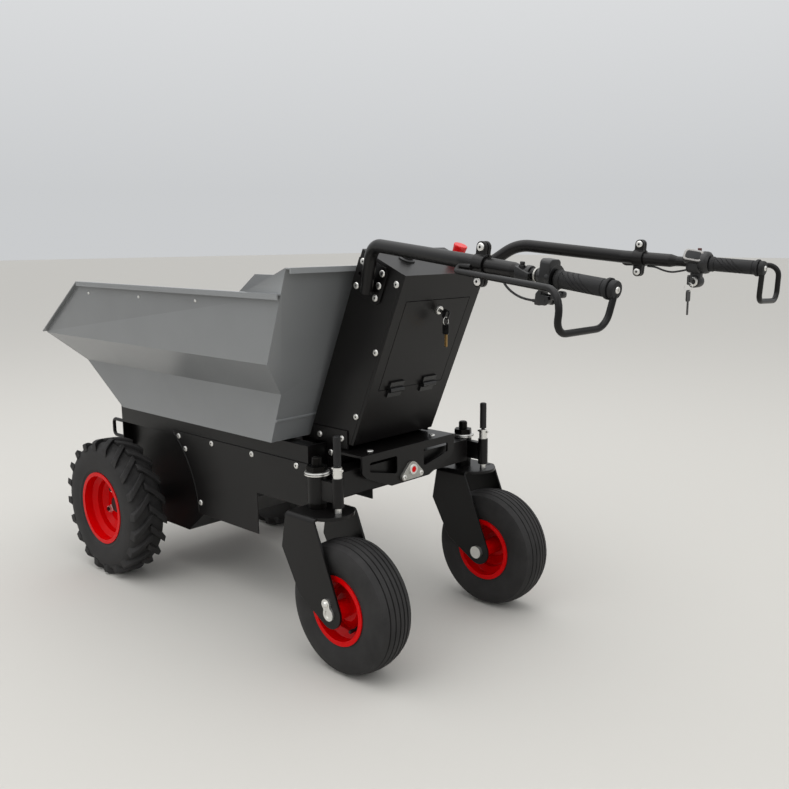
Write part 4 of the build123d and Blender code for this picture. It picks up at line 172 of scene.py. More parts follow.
# finishes: peel, mould grain and spangle are finer on the real surfaces, and drawn coarse enough to show
patternMm = {"paintPatch": 166.67, "rubberDust": 55.56, "plasticWear": 16.667, "fingerGrease": 7.143}


def powderCoat(name, colour, roughness, shine, variation, peelMm, edge):
    # sprayed and baked paint: even satin sheen, faint orange peel, and a painted highlight that lightens the
    # colour along sharp edges
    material, tree, shader, spot = startMaterial(name, IOR=1.5, Specular_IOR_Level=shine)
    patches = addNode(tree, "ShaderNodeTexNoise", {
        "Vector": spot, "Scale": 1000 / patternMm["paintPatch"], "Detail": 4.0,
    })
    shade = addNode(tree, "ShaderNodeValToRGB", {"Fac": patches.outputs["Fac"]})
    shade.color_ramp.elements[0].color = shadeOf(colour, 1 - variation)
    shade.color_ramp.elements[1].color = shadeOf(colour, 1 + variation)
    shade.color_ramp.elements[0].position, shade.color_ramp.elements[1].position = 0.3, 0.7
    # painted highlight: where pointiness marks a sharp edge, the colour is lightened towards 2.6 times
    # itself, up to the share given by edge
    corner = addNode(tree, "ShaderNodeNewGeometry")
    edgeHighlightShare = addNode(tree, "ShaderNodeMapRange", {
        "Value": corner.outputs["Pointiness"], "From Min": 0.515, "From Max": 0.62, "To Max": edge,
    })
    edgeHighlightMix = addNode(tree, "ShaderNodeMix", {"Factor": edgeHighlightShare.outputs["Result"]}, data_type="RGBA")
    colourA, edgeHighlightColour, mixed = edgeHighlightMix.inputs[6], edgeHighlightMix.inputs[7], edgeHighlightMix.outputs[2]    # its colour sockets
    tree.links.new(shade.outputs["Color"], colourA)
    edgeHighlightColour.default_value = shadeOf(colour, 2.6)
    tree.links.new(mixed, shader.inputs["Base Color"])
    addNode(tree, "ShaderNodeMapRange", {
        "Value": patches.outputs["Fac"], "To Min": roughness - 0.06, "To Max": roughness + 0.08,
    }, {"Result": shader.inputs["Roughness"]})
    peel = addNode(tree, "ShaderNodeTexNoise", {"Vector": spot, "Scale": 1000 / peelMm, "Detail": 2.0})
    addNode(tree, "ShaderNodeBump", {
        "Height": peel.outputs["Fac"], "Strength": 0.05, "Distance": 0.0004,
    }, {"Normal": shader.inputs["Normal"]})
    return material


def mouldedRubber(name, colour, roughness, grainMm, relief):
    # vulcanised rubber: dull, fine pores, a breath of grey dust in patches
    material, tree, shader, spot = startMaterial(name, IOR=1.52, Specular_IOR_Level=0.35)
    dust = addNode(tree, "ShaderNodeTexNoise", {
        "Vector": spot, "Scale": 1000 / patternMm["rubberDust"], "Detail": 6.0, "Roughness": 0.65,
    })
    shade = addNode(tree, "ShaderNodeValToRGB", {
        "Fac": dust.outputs["Fac"],
    }, {"Color": shader.inputs["Base Color"]})
    shade.color_ramp.elements[0].color = shadeOf(colour, 0.75)
    shade.color_ramp.elements[1].color = shadeOf(colour, 1.7)
    shade.color_ramp.elements[0].position, shade.color_ramp.elements[1].position = 0.35, 0.75
    addNode(tree, "ShaderNodeMapRange", {
        "Value": dust.outputs["Fac"], "To Min": roughness - 0.1, "To Max": roughness + 0.12,
    }, {"Result": shader.inputs["Roughness"]})
    grain = addNode(tree, "ShaderNodeTexNoise", {"Vector": spot, "Scale": 1000 / grainMm, "Detail": 3.0})
    addNode(tree, "ShaderNodeBump", {
        "Height": grain.outputs["Fac"], "Strength": relief, "Distance": 0.0006,
    }, {"Normal": shader.inputs["Normal"]})
    return material


def platedSteel(name, colour, roughness, grainMm):
    # plated or bare metal: soft gleam broken by a fine spangle
    material, tree, shader, spot = startMaterial(name, Metallic=1.0, Base_Color=linearColour(colour))
    spangle = addNode(tree, "ShaderNodeTexNoise", {"Vector": spot, "Scale": 1000 / grainMm, "Detail": 3.0})
    addNode(tree, "ShaderNodeMapRange", {
        "Value": spangle.outputs["Fac"], "To Min": roughness - 0.08, "To Max": roughness + 0.12,
    }, {"Result": shader.inputs["Roughness"]})
    addNode(tree, "ShaderNodeBump", {
        "Height": spangle.outputs["Fac"], "Strength": 0.05, "Distance": 0.0003,
    }, {"Normal": shader.inputs["Normal"]})
    return material


def mouldedPlastic(name, colour, roughness, grainMm, relief):
    # injection-moulded ABS: spark-eroded grain from the mould
    material, tree, shader, spot = startMaterial(name, IOR=1.53)
    wear = addNode(tree, "ShaderNodeTexNoise", {
        "Vector": spot, "Scale": 1000 / patternMm["plasticWear"], "Detail": 4.0,
    })
    shade = addNode(tree, "ShaderNodeValToRGB", {
        "Fac": wear.outputs["Fac"],
    }, {"Color": shader.inputs["Base Color"]})
    shade.color_ramp.elements[0].color = shadeOf(colour, 0.85)
    shade.color_ramp.elements[1].color = shadeOf(colour, 1.2)
    addNode(tree, "ShaderNodeMapRange", {
        "Value": wear.outputs["Fac"], "To Min": roughness - 0.06, "To Max": roughness + 0.06,
    }, {"Result": shader.inputs["Roughness"]})
    grain = addNode(tree, "ShaderNodeTexVoronoi", {"Vector": spot, "Scale": 1000 / grainMm})
    addNode(tree, "ShaderNodeBump", {
        "Height": grain.outputs["Distance"], "Strength": relief, "Distance": 0.0003,
    }, {"Normal": shader.inputs["Normal"]})
    return material


def coatedGlass(name, colour):
    # display window: dark tinted acrylic, a faint wipe of finger grease
    material, tree, shader, spot = startMaterial(
        name, IOR=1.49, Specular_IOR_Level=0.3, Base_Color=linearColour(colour))
    grease = addNode(tree, "ShaderNodeTexNoise", {
        "Vector": spot, "Scale": 1000 / patternMm["fingerGrease"], "Detail": 5.0,
    })
    addNode(tree, "ShaderNodeMapRange", {
        "Value": grease.outputs["Fac"], "To Min": 0.05, "To Max": 0.22,
    }, {"Result": shader.inputs["Roughness"]})
    return material


# the last number is the strength of the painted edge highlight; the red wheel enamel gets none
greyPaint = powderCoat("greyPowderCoat", "#767879", 0.22, 0.5, 0.04, 1.6, 0.35)
blackPaint = powderCoat("blackPowderCoat", "#080707", 0.33, 0.27, 0.12, 1.6, 0.8)
redPaint = powderCoat("redWheelEnamel", "#cc0105", 0.2, 0.1, 0.05, 1.8, 0.0)
tyreRubber = mouldedRubber("blackTyreRubber", "#222121", 0.7, 1.2, 0.25)
gripRubber = mouldedRubber("softGripRubber", "#131314", 0.6, 0.9, 0.3)
zincPlate = platedSteel("brightZincPlate", "#e4e3df", 0.36, 1.5)
blackOxide = platedSteel("blackOxideSteel", "#1d1c1b", 0.42, 1.5)
castAlloy = platedSteel("castAluminium", "#8b8c8d", 0.5, 2.5)
bearingSteel = platedSteel("dullPlatedFlange", "#b4b3ae", 0.5, 2.0)
galvanised = platedSteel("galvanisedNut", "#f4f3ef", 0.6, 1.5)
blackAbs = mouldedPlastic("blackAbs", "#101011", 0.46, 0.8, 0.12)
silverAbs = mouldedPlastic("silverAbs", "#94928f", 0.4, 0.8, 0.05)
redAbs = mouldedPlastic("redAbs", "#d40d10", 0.25, 0.8, 0.03)
keyAbs = mouldedPlastic("keyHeadPlastic", "#0a0a0b", 0.35, 0.8, 0.05)
brass = platedSteel("brassKeyBlade", "#d9b070", 0.3, 1.2)
maroonAbs = mouldedPlastic("maroonAbs", "#4a1712", 0.35, 0.8, 0.03)
darkGlass = coatedGlass("tintedAcrylic", "#0d0f10")
print("finishes made")

slotFinish = {
    "hopper_paint": greyPaint,
    "black_paint": blackPaint,
    "red_paint": redPaint,
    "tyre_rubber": tyreRubber,
    "plated_steel": zincPlate,
    "cast_housing": castAlloy,
    "black_plastic": blackAbs,
    "grip_rubber": gripRubber,
    "red_plastic": redAbs,
    "key_plastic": keyAbs,
}
nodeSlot = {part["node"]: part["material_slot"] for part in frame["record"]["subparts"]}
for name, slotName in nodeSlot.items():
    mesh = nodes[name].data
    mesh.materials.clear()
    mesh.materials.append(slotFinish[slotName])


def islandsOf(mesh):
    # CAD triangles are loose: corners at one place count as one
    spots, owner = {}, []

    def rootOf(i):
        while owner[i] != i:
            owner[i] = owner[owner[i]]
            i = owner[i]
        return i

    corners = []
    for vertex in mesh.vertices:
        key = tuple(round(v * 1e5) for v in vertex.co)
        if key not in spots:
            spots[key] = len(owner)
            owner.append(len(owner))
        corners.append(spots[key])
    for face in mesh.polygons:
        first = rootOf(corners[face.vertices[0]])
        for i in face.vertices[1:]:
            owner[rootOf(corners[i])] = first
    order, islands = {}, []
    for face in mesh.polygons:
        island = order.setdefault(rootOf(corners[face.vertices[0]]), len(order))
        if island == len(islands):
            islands.append([])
        islands[island].append(face.index)
    return islands


# pieces of mixed make: one finish for each solid, in the order of the solids
pinFinishes = [blackOxide, zincPlate, blackOxide, zincPlate, zincPlate, zincPlate]
hubFinishes = [blackPaint] + [zincPlate] * 4
solidFinish = {
    "caster_pins_left": pinFinishes,
    "caster_pins_right": pinFinishes,
    "door_spare_key": [zincPlate, keyAbs, brass],
    "ignition_spare_key": [zincPlate, keyAbs, keyAbs],
    "cabinet_door": [blackPaint, keyAbs, keyAbs],
    "door_hinges": [keyAbs, keyAbs],
    "rock_bearings": [bearingSteel, bearingSteel],
    "drive_hub_left": hubFinishes,
    "drive_hub_right": hubFinishes,
    "drive_unit": [castAlloy, blackPaint],
}


def dressSolids(name, finishes):
    mesh = nodes[name].data
    mesh.materials.clear()
    kinds = list(dict.fromkeys(finishes))
    for finish in kinds:
        mesh.materials.append(finish)
    for faces, finish in zip(islandsOf(mesh), finishes):
        for i in faces:
            mesh.polygons[i].material_index = kinds.index(finish)


for name, finishes in solidFinish.items():
    dressSolids(name, finishes)

# parts of one solid with a finish of their own, told by their place
sleeveFoot = 0.4922       # rubber sleeves start above the lock pins' collars
bearingRadius = 0.0165
casterAxle = (-0.32215, 0.161)


def dressWhere(name, finish, test):
    mesh = nodes[name].data
    if finish.name not in mesh.materials:
        mesh.materials.append(finish)
    index = mesh.materials.find(finish.name)
    for face in mesh.polygons:
        if test(face):
            face.material_index = index


for side in ("left", "right"):
    dressWhere("lock_pin_" + side, gripRubber, lambda f: f.center.z > sleeveFoot)
    dressWhere("caster_rim_" + side, zincPlate, lambda f: hypot(
        f.center.x - casterAxle[0], f.center.z - casterAxle[1]) < bearingRadius)
print("CAD nodes dressed")

# rounded edges: radius in millimetres for each kind of make
edgeRadius = {
    0.4: ["door_key", "ignition_key", "cabinet_door"],
    0.8: ["chassis_frame", "side_covers", "axle_guard", "cabinet_gussets", "hopper_brackets", "left_handle",
          "door_hinges"],
    1.2: ["cabinet_shell", "handle_clamps", "rock_bearings", "motor_controller"],
    2.0: ["axle_beam", "battery_pack", "rest_pads", "caster_fork_left", "caster_fork_right", "rear_bracket"],
}


def easeEdges(piece, width, angle):
    ease = piece.modifiers.new("ease", "BEVEL")
    ease.width = width
    ease.segments = 2
    ease.limit_method = "ANGLE"
    ease.angle_limit = radians(angle)


def roundEdges(node, radiusMm):
    weld = node.modifiers.new("weld", "WELD")
    weld.merge_threshold = 1e-5
    flat = node.modifiers.new("flat", "DECIMATE")
    flat.decimate_type = "DISSOLVE"
    flat.angle_limit = radians(0.6)
    easeEdges(node, radiusMm / 1000, 32)
    node.modifiers.new("even", "WEIGHTED_NORMAL").weight = 70


for radiusMm, names in edgeRadius.items():
    for name in names:
        roundEdges(nodes[name], radiusMm)
print("edges rounded")


# modelling helpers
def pickOnly(piece):
    if bpy.context.mode != "OBJECT":
        bpy.ops.object.mode_set(mode="OBJECT")
    bpy.ops.object.select_all(action="DESELECT")
    piece.select_set(True)
    bpy.context.view_layer.objects.active = piece


def editNone(piece, mode):
    pickOnly(piece)
    bpy.ops.object.mode_set(mode="EDIT")
    bpy.ops.mesh.select_mode(type=mode)
    bpy.ops.mesh.select_all(action="DESELECT")
    bpy.ops.object.mode_set(mode="OBJECT")


def editFaces(piece, test):
    editNone(piece, "FACE")
    for face in piece.data.polygons:
        face.select = test(face)
    bpy.ops.object.mode_set(mode="EDIT")


def editEdges(piece, test):
    editNone(piece, "EDGE")
    for edge in piece.data.edges:
        ends = [piece.data.vertices[i].co for i in edge.vertices]
        edge.select = test(ends[0], ends[1])
    bpy.ops.object.mode_set(mode="EDIT")


def isLevel(a, b):
    return abs(a.z - b.z) < 1e-6


def editAll(piece):
    pickOnly(piece)
    bpy.ops.object.mode_set(mode="EDIT")
    bpy.ops.mesh.select_mode(type="EDGE")
    bpy.ops.mesh.select_all(action="SELECT")


def bevelPicked(offset, segments):
    bpy.ops.mesh.bevel(offset=offset, segments=segments, affect="EDGES")
    bpy.ops.object.mode_set(mode="OBJECT")


def copyAt(model, place):
    pickOnly(model)
    bpy.ops.object.duplicate()
    bpy.context.object.matrix_world = place
    return bpy.context.object


def joinAll(parts):
    pickOnly(parts[0])
    for part in parts:
        part.select_set(True)
    bpy.ops.object.join()
    return bpy.context.object


def cutAway(piece, cutter):
    pickOnly(piece)
    cut = piece.modifiers.new("cut", "BOOLEAN")
    cut.operation = "DIFFERENCE"
    cut.solver = "EXACT"
    cut.object = cutter
    bpy.ops.object.modifier_apply(modifier="cut")
    bpy.data.objects.remove(cutter)


def finishPiece(piece, name, body, finish, angle=35, covers=()):
    pickOnly(piece)
    bpy.ops.object.transform_apply(location=True, rotation=True, scale=True)
    bpy.ops.object.shade_smooth_by_angle(angle=radians(angle))
    piece.name = name
    piece.data.name = name
    piece.data.materials.clear()
    piece.data.materials.append(finish)
    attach(piece, body)
    if covers:
        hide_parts(*covers)


def alongAxis(spot, axis):
    return Matrix.Translation(spot) @ Vector(axis).to_track_quat("Z", "Y").to_matrix().to_4x4()


def turnedAt(spot, degrees=0.0, axis="X"):
    return Matrix.Translation(spot) @ Matrix.Rotation(radians(degrees), 4, axis)


def turnRings(points, segments, hollow, place=Matrix()):
    # rings of (radius, height) drawn up one after the other; hollow joins the last to the first
    bpy.ops.object.select_all(action="DESELECT")
    bpy.ops.mesh.primitive_circle_add(vertices=segments, radius=points[0][0], location=(0, 0, 0))
    piece = bpy.context.object
    editAll(piece)
    bpy.ops.transform.translate(value=(0, 0, points[0][1]))
    for (r0, z0), (r1, z1) in zip(points, points[1:]):
        bpy.ops.mesh.extrude_region_move(TRANSFORM_OT_translate={"value": (0, 0, z1 - z0)})
        bpy.ops.transform.resize(value=(r1 / r0, r1 / r0, 1))
    bpy.ops.mesh.select_all(action="DESELECT")
    bpy.ops.mesh.select_non_manifold()
    if hollow:
        bpy.ops.mesh.bridge_edge_loops()
    else:
        bpy.ops.mesh.edge_face_add()
    bpy.ops.mesh.select_all(action="SELECT")
    bpy.ops.mesh.normals_make_consistent(inside=False)
    bpy.ops.object.mode_set(mode="OBJECT")
    piece.matrix_world = place
    return piece


def startBlock(size):
    # block about the origin, left in edit mode with all of it picked
    bpy.ops.object.select_all(action="DESELECT")
    bpy.ops.mesh.primitive_cube_add(size=1, location=(0, 0, 0))
    block = bpy.context.object
    editAll(block)
    bpy.ops.transform.resize(value=size)
    return block


def startHex(across, height, middle):
    bpy.ops.object.select_all(action="DESELECT")
    bpy.ops.mesh.primitive_cylinder_add(vertices=6, radius=across / 3 ** 0.5, depth=height,
                                        location=(0, 0, middle))
    return bpy.context.object


def roundPlate(c, steps=6):
    # plate with its four upright corners rounded, then all its rims eased
    plate = startBlock(c["size"])
    editEdges(plate, lambda a, b: not isLevel(a, b))
    bevelPicked(c["corner"], steps)
    editEdges(plate, isLevel)
    bevelPicked(c["bevel"], 3)
    return plate


def roundBox(c):
    box = startBlock(c["size"])
    bevelPicked(c["bevel"], 4)
    box.matrix_world = turnedAt(c["spot"], c.get("lean", 0.0), "Y")
    return box


def slopedBlock(c, rear):
    # block whose upper edge drops at its rear or front end
    block = startBlock(c["size"])
    editEdges(block, lambda a, b: min(a.x, b.x) > 0 and (min(a.z, b.z) > 0 if rear else max(a.z, b.z) < 0))
    bpy.ops.transform.translate(value=(-c["fall"], 0, 0))
    editAll(block)
    bevelPicked(c["bevel"], 3)
    block.matrix_world = turnedAt(c["spot"])
    return block


def bendRod(points, radius, roundness):
    # straight runs joined by round bends, drawn as a curve and turned into a mesh
    knots = []
    for i, (corner, bend) in enumerate(points):
        corner = Vector(corner)
        if not bend:
            knots.append((corner, corner, corner))
            continue
        back = (Vector(points[i - 1][0]) - corner).normalized()
        ahead = (Vector(points[i + 1][0]) - corner).normalized()
        turn = pi - back.angle(ahead)
        reach = bend * tan(turn / 2)
        pull = reach - 4 / 3 * bend * tan(turn / 4)
        knots.append((corner + back * reach, corner + back * reach, corner + back * pull))
        knots.append((corner + ahead * reach, corner + ahead * pull, corner + ahead * reach))
    bpy.ops.object.select_all(action="DESELECT")
    bpy.ops.curve.primitive_bezier_curve_add(location=(0, 0, 0))
    rod = bpy.context.object
    spline = rod.data.splines[0]
    spline.bezier_points.add(len(knots) - len(spline.bezier_points))
    for point, (spot, before, after) in zip(spline.bezier_points, knots):
        point.handle_left_type = point.handle_right_type = "FREE"
        point.co, point.handle_left, point.handle_right = spot, before, after
    rod.data.resolution_u = 8
    rod.data.bevel_depth = radius
    rod.data.bevel_resolution = roundness
    rod.data.use_fill_caps = True
    bpy.ops.object.convert(target="MESH")
    rod = bpy.context.object
    editAll(rod)
    bpy.ops.mesh.remove_doubles(threshold=1e-6)
    bpy.ops.mesh.normals_make_consistent(inside=False)
    bpy.ops.object.mode_set(mode="OBJECT")
    return rod


# button-head socket screws and hex nuts, in millimetres
# heads come out a little wider than their solids, and smaller at the bar ends
screw = {"radius": 7.5, "height": 5.0, "dome": 2.6, "socketAcross": 4.6, "socketDepth": 2.6,
         "size": 1.12, "barEndSize": 0.8, "barEndX": -1.0}
nut = {"across": 13.0, "height": 6.0, "bore": 4.0, "boreDepth": 3.6, "bevel": 0.7}
millimetre = 0.001


def makeScrew(c):
    bpy.ops.object.select_all(action="DESELECT")
    bpy.ops.mesh.primitive_cylinder_add(vertices=40, radius=c["radius"], depth=c["height"],
                                        location=(0, 0, c["height"] / 2))
    head = bpy.context.object
    editEdges(head, lambda a, b: min(a.z, b.z) > 0)
    bevelPicked(c["dome"], 4)
    cutAway(head, startHex(c["socketAcross"], 2 * c["socketDepth"], c["height"]))
    return head


def makeNut(c):
    body = startHex(c["across"], c["height"], 0)
    editEdges(body, lambda a, b: abs(a.z - b.z) < 0.1)
    bevelPicked(c["bevel"], 2)
    bpy.ops.object.select_all(action="DESELECT")
    bpy.ops.mesh.primitive_cylinder_add(vertices=24, radius=c["bore"], depth=c["boreDepth"],
                                        location=(0, 0, c["height"] / 2))
    cutAway(body, bpy.context.object)
    return body


def seatsOf(name):
    # a screw sits on the largest flat of its solid; a nut has two alike that face apart
    mesh = nodes[name].data
    alike = 0.97
    seats = []
    for faces in islandsOf(mesh):
        flats = {}
        for i in faces:
            face = mesh.polygons[i]
            key = tuple(round(v, 2) + 0.0 for v in face.normal)
            area, middle = flats.get(key, (0.0, Vector()))
            flats[key] = (area + face.area, middle + face.center * face.area)
        ranked = sorted(flats.items(), key=lambda flat: -flat[1][0])
        (normal, (area, middle)), (other, (otherArea, otherMiddle)) = ranked[:2]
        isNut = otherArea > alike * area and Vector(normal).dot(Vector(other)) < -alike
        spot = middle / area
        if isNut:
            spot = (spot + otherMiddle / otherArea) / 2
        seats.append((spot, -Vector(normal), (area / pi) ** 0.5, isNut))
    return seats


def fitScrews(name, body):
    head, hexNut = makeScrew(screw), makeNut(nut)
    copies = []
    for spot, axis, radius, isNut in seatsOf(name):
        wider = screw["barEndSize"] if spot.x < screw["barEndX"] else screw["size"]
        share = millimetre if isNut else wider * radius / screw["radius"]
        model = hexNut if isNut else head
        copies.append(copyAt(model, alongAxis(spot, axis) @ Matrix.Scale(share, 4)))
    bpy.data.objects.remove(head)
    bpy.data.objects.remove(hexNut)
    screws = joinAll(copies)
    finishPiece(screws, name.replace("bolts", "screws"), body, zincPlate, 40, (name,))


fitScrews("body_bolts", "chassis")
fitScrews("handle_bolts", "chassis")
print("screws fitted")

# handlebars in metres: clamp centres, bar ends and the way between them
bars = {
    "left": {"clamp": (-0.72715, 0.300, 0.962), "end": (-1.00815, 0.313, 0.927), "length": 0.28346},
    "right": {"clamp": (-0.72715, -0.300, 0.962), "end": (-1.00815, -0.313, 0.944), "length": 0.28188},
}


def barPlace(side, back=0.0):
    # X up, Z rearward along the bar, origin a given way ahead of the bar's end
    c = bars[side]
    along = (Vector(c["end"]) - Vector(c["clamp"])).normalized()
    up = (Vector((0, 0, 1)) - along * along.z).normalized()
    turn = Matrix((up, along.cross(up), along)).transposed().to_4x4()
    return Matrix.Translation(Vector(c["end"]) - along * back) @ turn


# rubber grip: collar, waisted hand part with slanting grooves, end flange
grip = {
    "rings": [(0.0170, 0.0), (0.0170, 0.006), (0.0155, 0.009), (0.0155, 0.098), (0.0185, 0.1025),
              (0.0185, 0.1077), (0.01115, 0.1077), (0.01115, 0.0)],
    "segments": 72,
    "skin": 0.0121,     # rims further out than this are eased
    "bevel": 0.0009,
    "radius": 0.0155,
    "grooves": [0.030, 0.041, 0.052, 0.063],
    "grooveTilt": 52,
    "grooveRadius": 0.0011,
    "ringGrooves": [0.0115, 0.0955],
    "back": 0.108,
}


def makeGrip(c, side, name, body, covers):
    piece = turnRings(c["rings"], c["segments"], True)
    editEdges(piece, lambda a, b: isLevel(a, b) and hypot(a.x, a.y) > c["skin"])
    bevelPicked(c["bevel"], 3)
    cutters = []
    for z in c["grooves"] + c["ringGrooves"]:
        tilt = c["grooveTilt"] if z in c["grooves"] else 0.0
        bpy.ops.object.select_all(action="DESELECT")
        bpy.ops.mesh.primitive_torus_add(major_segments=c["segments"], minor_segments=8,
                                         major_radius=c["radius"], minor_radius=c["grooveRadius"],
                                         location=(0, 0, 0))
        ring = bpy.context.object
        editAll(ring)
        bpy.ops.transform.resize(value=(1 / cos(radians(tilt)), 1, 1))
        bpy.ops.object.mode_set(mode="OBJECT")
        ring.matrix_world = turnedAt((0, 0, z), tilt, "Y")
        cutters.append(ring)
    for ring in cutters:
        cutAway(piece, ring)
    piece.matrix_world = barPlace(side, c["back"])
    finishPiece(piece, name, body, gripRubber, 40, covers)


makeGrip(grip, "left", "ribbedGripLeft", "chassis", ("left_grip",))
makeGrip(grip, "right", "ribbedGripThrottle", "throttle", ("throttle_grip",))
print("grips made")

# drive tyre: carcass turned from rings, slanting bars in a chevron on both shoulders
driveTyre = {
    "axle": (0.68785, 0.308, 0.207),
    "rings": [(0.1020, 0.0445), (0.1080, 0.0455), (0.1180, 0.0500), (0.1200, 0.0512), (0.1230, 0.0508),
              (0.1350, 0.0530), (0.1550, 0.0537), (0.1720, 0.0530), (0.1840, 0.0495), (0.1905, 0.0430),
              (0.1945, 0.0300), (0.1960, 0.0150), (0.1965, 0.0)],
    "segments": 120,
    "bars": 20,
    "barLength": 0.0585,
    "barWidth": 0.0285,
    "barHeight": 0.0240,
    "barTop": (0.98, 0.76, 1),      # share of the foot's length and width
    "barCuts": 5,
    "barCrown": 0.2070,
    "shoulderAt": 0.054,
    "shoulderDrop": 0.0060,
    "slant": 46,
    "start": -0.0050,
    "bevel": 0.0022,
}


def makeBar(c):
    # flat bar: length along X from the tread's middle, height along Z, narrower at its top
    bar = startBlock((c["barLength"], c["barWidth"], c["barHeight"]))
    bpy.ops.transform.translate(value=(c["barLength"] / 2 + c["start"], 0, -c["barHeight"] / 2))
    editFaces(bar, lambda f: f.normal.z > 0.9)
    bpy.ops.transform.resize(value=c["barTop"])
    editAll(bar)
    bpy.ops.mesh.subdivide(number_cuts=c["barCuts"])
    pickOnly(bar)
    easeEdges(bar, c["bevel"], 40)
    bpy.ops.object.modifier_apply(modifier="ease")
    return bar


def wrapBar(bar, c, side, turn):
    # lays a flat bar round the tyre: X across the tread, slanting down towards the shoulder
    slope = tan(radians(c["slant"]))
    for vertex in bar.data.vertices:
        across, along, depth = vertex.co
        out = max(0.0, across)
        radius = c["barCrown"] - c["shoulderDrop"] * (out / c["shoulderAt"]) ** 3 + depth
        angle = turn + (along + out * slope) / c["barCrown"]
        vertex.co = (-radius * cos(angle), side * across, -radius * sin(angle))


def makeDriveTyre(c):
    rings = [(r, -w) for r, w in c["rings"]] + [(r, w) for r, w in reversed(c["rings"][:-1])]
    parts = [turnRings(rings, c["segments"], True, turnedAt((0, 0, 0), 90))]
    model = makeBar(c)
    pitch = 2 * pi / c["bars"]
    for i in range(c["bars"]):
        for half, lag in ((1, 0.0), (-1, 0.5)):
            bar = copyAt(model, Matrix())
            wrapBar(bar, c, half, (i + lag) * pitch)
            if half < 0:
                editAll(bar)
                bpy.ops.mesh.flip_normals()
                pickOnly(bar)
            parts.append(bar)
    bpy.data.objects.remove(model)
    tyre = joinAll(parts)
    x, y, z = c["axle"]
    other = copyAt(tyre, Matrix.Translation((x, -y, z)) @ tyre.matrix_world)
    tyre.matrix_world = Matrix.Translation((x, y, z)) @ tyre.matrix_world
    for piece, side in ((tyre, "left"), (other, "right")):
        finishPiece(piece, "tractorTyre" + side.title(), "drive_wheel_" + side, tyreRubber, 38,
                    ("drive_tyre_" + side,))


makeDriveTyre(driveTyre)
print("drive tyres made")

# wheel nuts: flanged hexagons over the studs, four to a hub
wheelNut = {
    "across": 0.0205,
    "height": 0.0128,
    "bevel": 0.0012,
    "skirt": [(0.0135, 0.0), (0.0135, 0.0012), (0.01025, 0.003)],
    "stud": [(0.0052, 0.0), (0.0052, 0.0150), (0.0042, 0.0160)],
}


def nutSpots(side):
    # feet of the hub's four nuts, read from the CAD solids
    mesh = nodes["drive_hub_" + side].data
    spots = []
    for faces in islandsOf(mesh)[1:]:
        points = [mesh.vertices[i].co for k in faces for i in mesh.polygons[k].vertices]
        low = [min(p[i] for p in points) for i in range(3)]
        high = [max(p[i] for p in points) for i in range(3)]
        foot = low[1] if side == "left" else high[1]
        spots.append(((low[0] + high[0]) / 2, foot, (low[2] + high[2]) / 2))
    return spots


def makeWheelNuts(c, side, body):
    hexagon = startHex(c["across"], c["height"], c["height"] / 2)
    editEdges(hexagon, lambda a, b: min(a.z, b.z) > 0)
    bevelPicked(c["bevel"], 2)
    model = joinAll([hexagon, turnRings(c["skirt"], 32, False), turnRings(c["stud"], 24, False)])
    outward = (0, 1 if side == "left" else -1, 0)
    copies = [copyAt(model, alongAxis(spot, outward)) for spot in nutSpots(side)]
    bpy.data.objects.remove(model)
    finishPiece(joinAll(copies), "wheelNuts" + side.title(), body, galvanised, 35)


makeWheelNuts(wheelNut, "left", "drive_wheel_left")
makeWheelNuts(wheelNut, "right", "drive_wheel_right")

# emergency stop: flat-topped mushroom flaring towards its top
stopButton = {
    "foot": (-0.32131, -0.112, 0.9627),
    "axis": (-0.397148, 0, 0.917755),
    "rings": [(0.0080, -0.0250), (0.0080, 0.0002), (0.0125, 0.0002), (0.0148, 0.0030), (0.0156, 0.0120),
              (0.0172, 0.0270), (0.0177, 0.0300), (0.0173, 0.0318), (0.0160, 0.0328)],
}


def makeStopButton(c):
    head = turnRings(c["rings"], 48, False, alongAxis(c["foot"], c["axis"]))
    finishPiece(head, "stopMushroom", "emergency_stop", redAbs, 30, ("estop_head",))


makeStopButton(stopButton)

# throttle: rounded body with its display turned to the rider, ring collar, key barrel below; bar's own frame
throttleBody = {
    "block": {"size": (0.040, 0.040, 0.036), "spot": (-0.003, 0, 0.139), "bevel": 0.009},
    "stalk": {"size": (0.026, 0.020, 0.024), "spot": (-0.0270, -0.002, 0.1420), "bevel": 0.004},
    "collar": [(0.0190, 0.1480), (0.0235, 0.1510), (0.0250, 0.1560), (0.0250, 0.1640), (0.0235, 0.1690),
               (0.0195, 0.1725)],
    "collarSpot": (0.002, 0, 0),
    "pod": {"size": (0.030, 0.045, 0.018), "spot": (0.0125, 0.0135, 0.1370), "corner": 0.009, "bevel": 0.003},
    "podFacing": (0.55, 0.80, 0.18),
    "bezel": {"size": (0.0285, 0.0430, 0.0020), "lift": 0.0090, "corner": 0.0085, "bevel": 0.0008},
    "window": {"size": (0.0200, 0.0340, 0.0012), "lift": 0.0099, "corner": 0.0060, "bevel": 0.0004},
    "barrel": [(0.0105, -0.0225), (0.0135, -0.0190), (0.0140, -0.0160), (0.0140, 0.0100), (0.0128, 0.0120)],
    "barrelSpot": (-0.0420, 0, 0.1420),
    "keyRing": [(0.0060, 0.0120), (0.0060, 0.0152), (0.0070, 0.0164), (0.0095, 0.0160), (0.0108, 0.0140),
                (0.0108, 0.0120)],
    "button": [(0.0046, 0.0168), (0.0046, 0.0320), (0.0040, 0.0332)],
    "buttonSpot": (0, 0, 0.1440),
}


def podFrame(c):
    # Z out of the display, Y along the bar
    facing = Vector(c["podFacing"]).normalized()
    along = (Vector((0, 0, 1)) - facing * facing.z).normalized()
    turn = Matrix((along.cross(facing), along, facing)).transposed()
    return Matrix.Translation(c["pod"]["spot"]) @ turn.to_4x4()


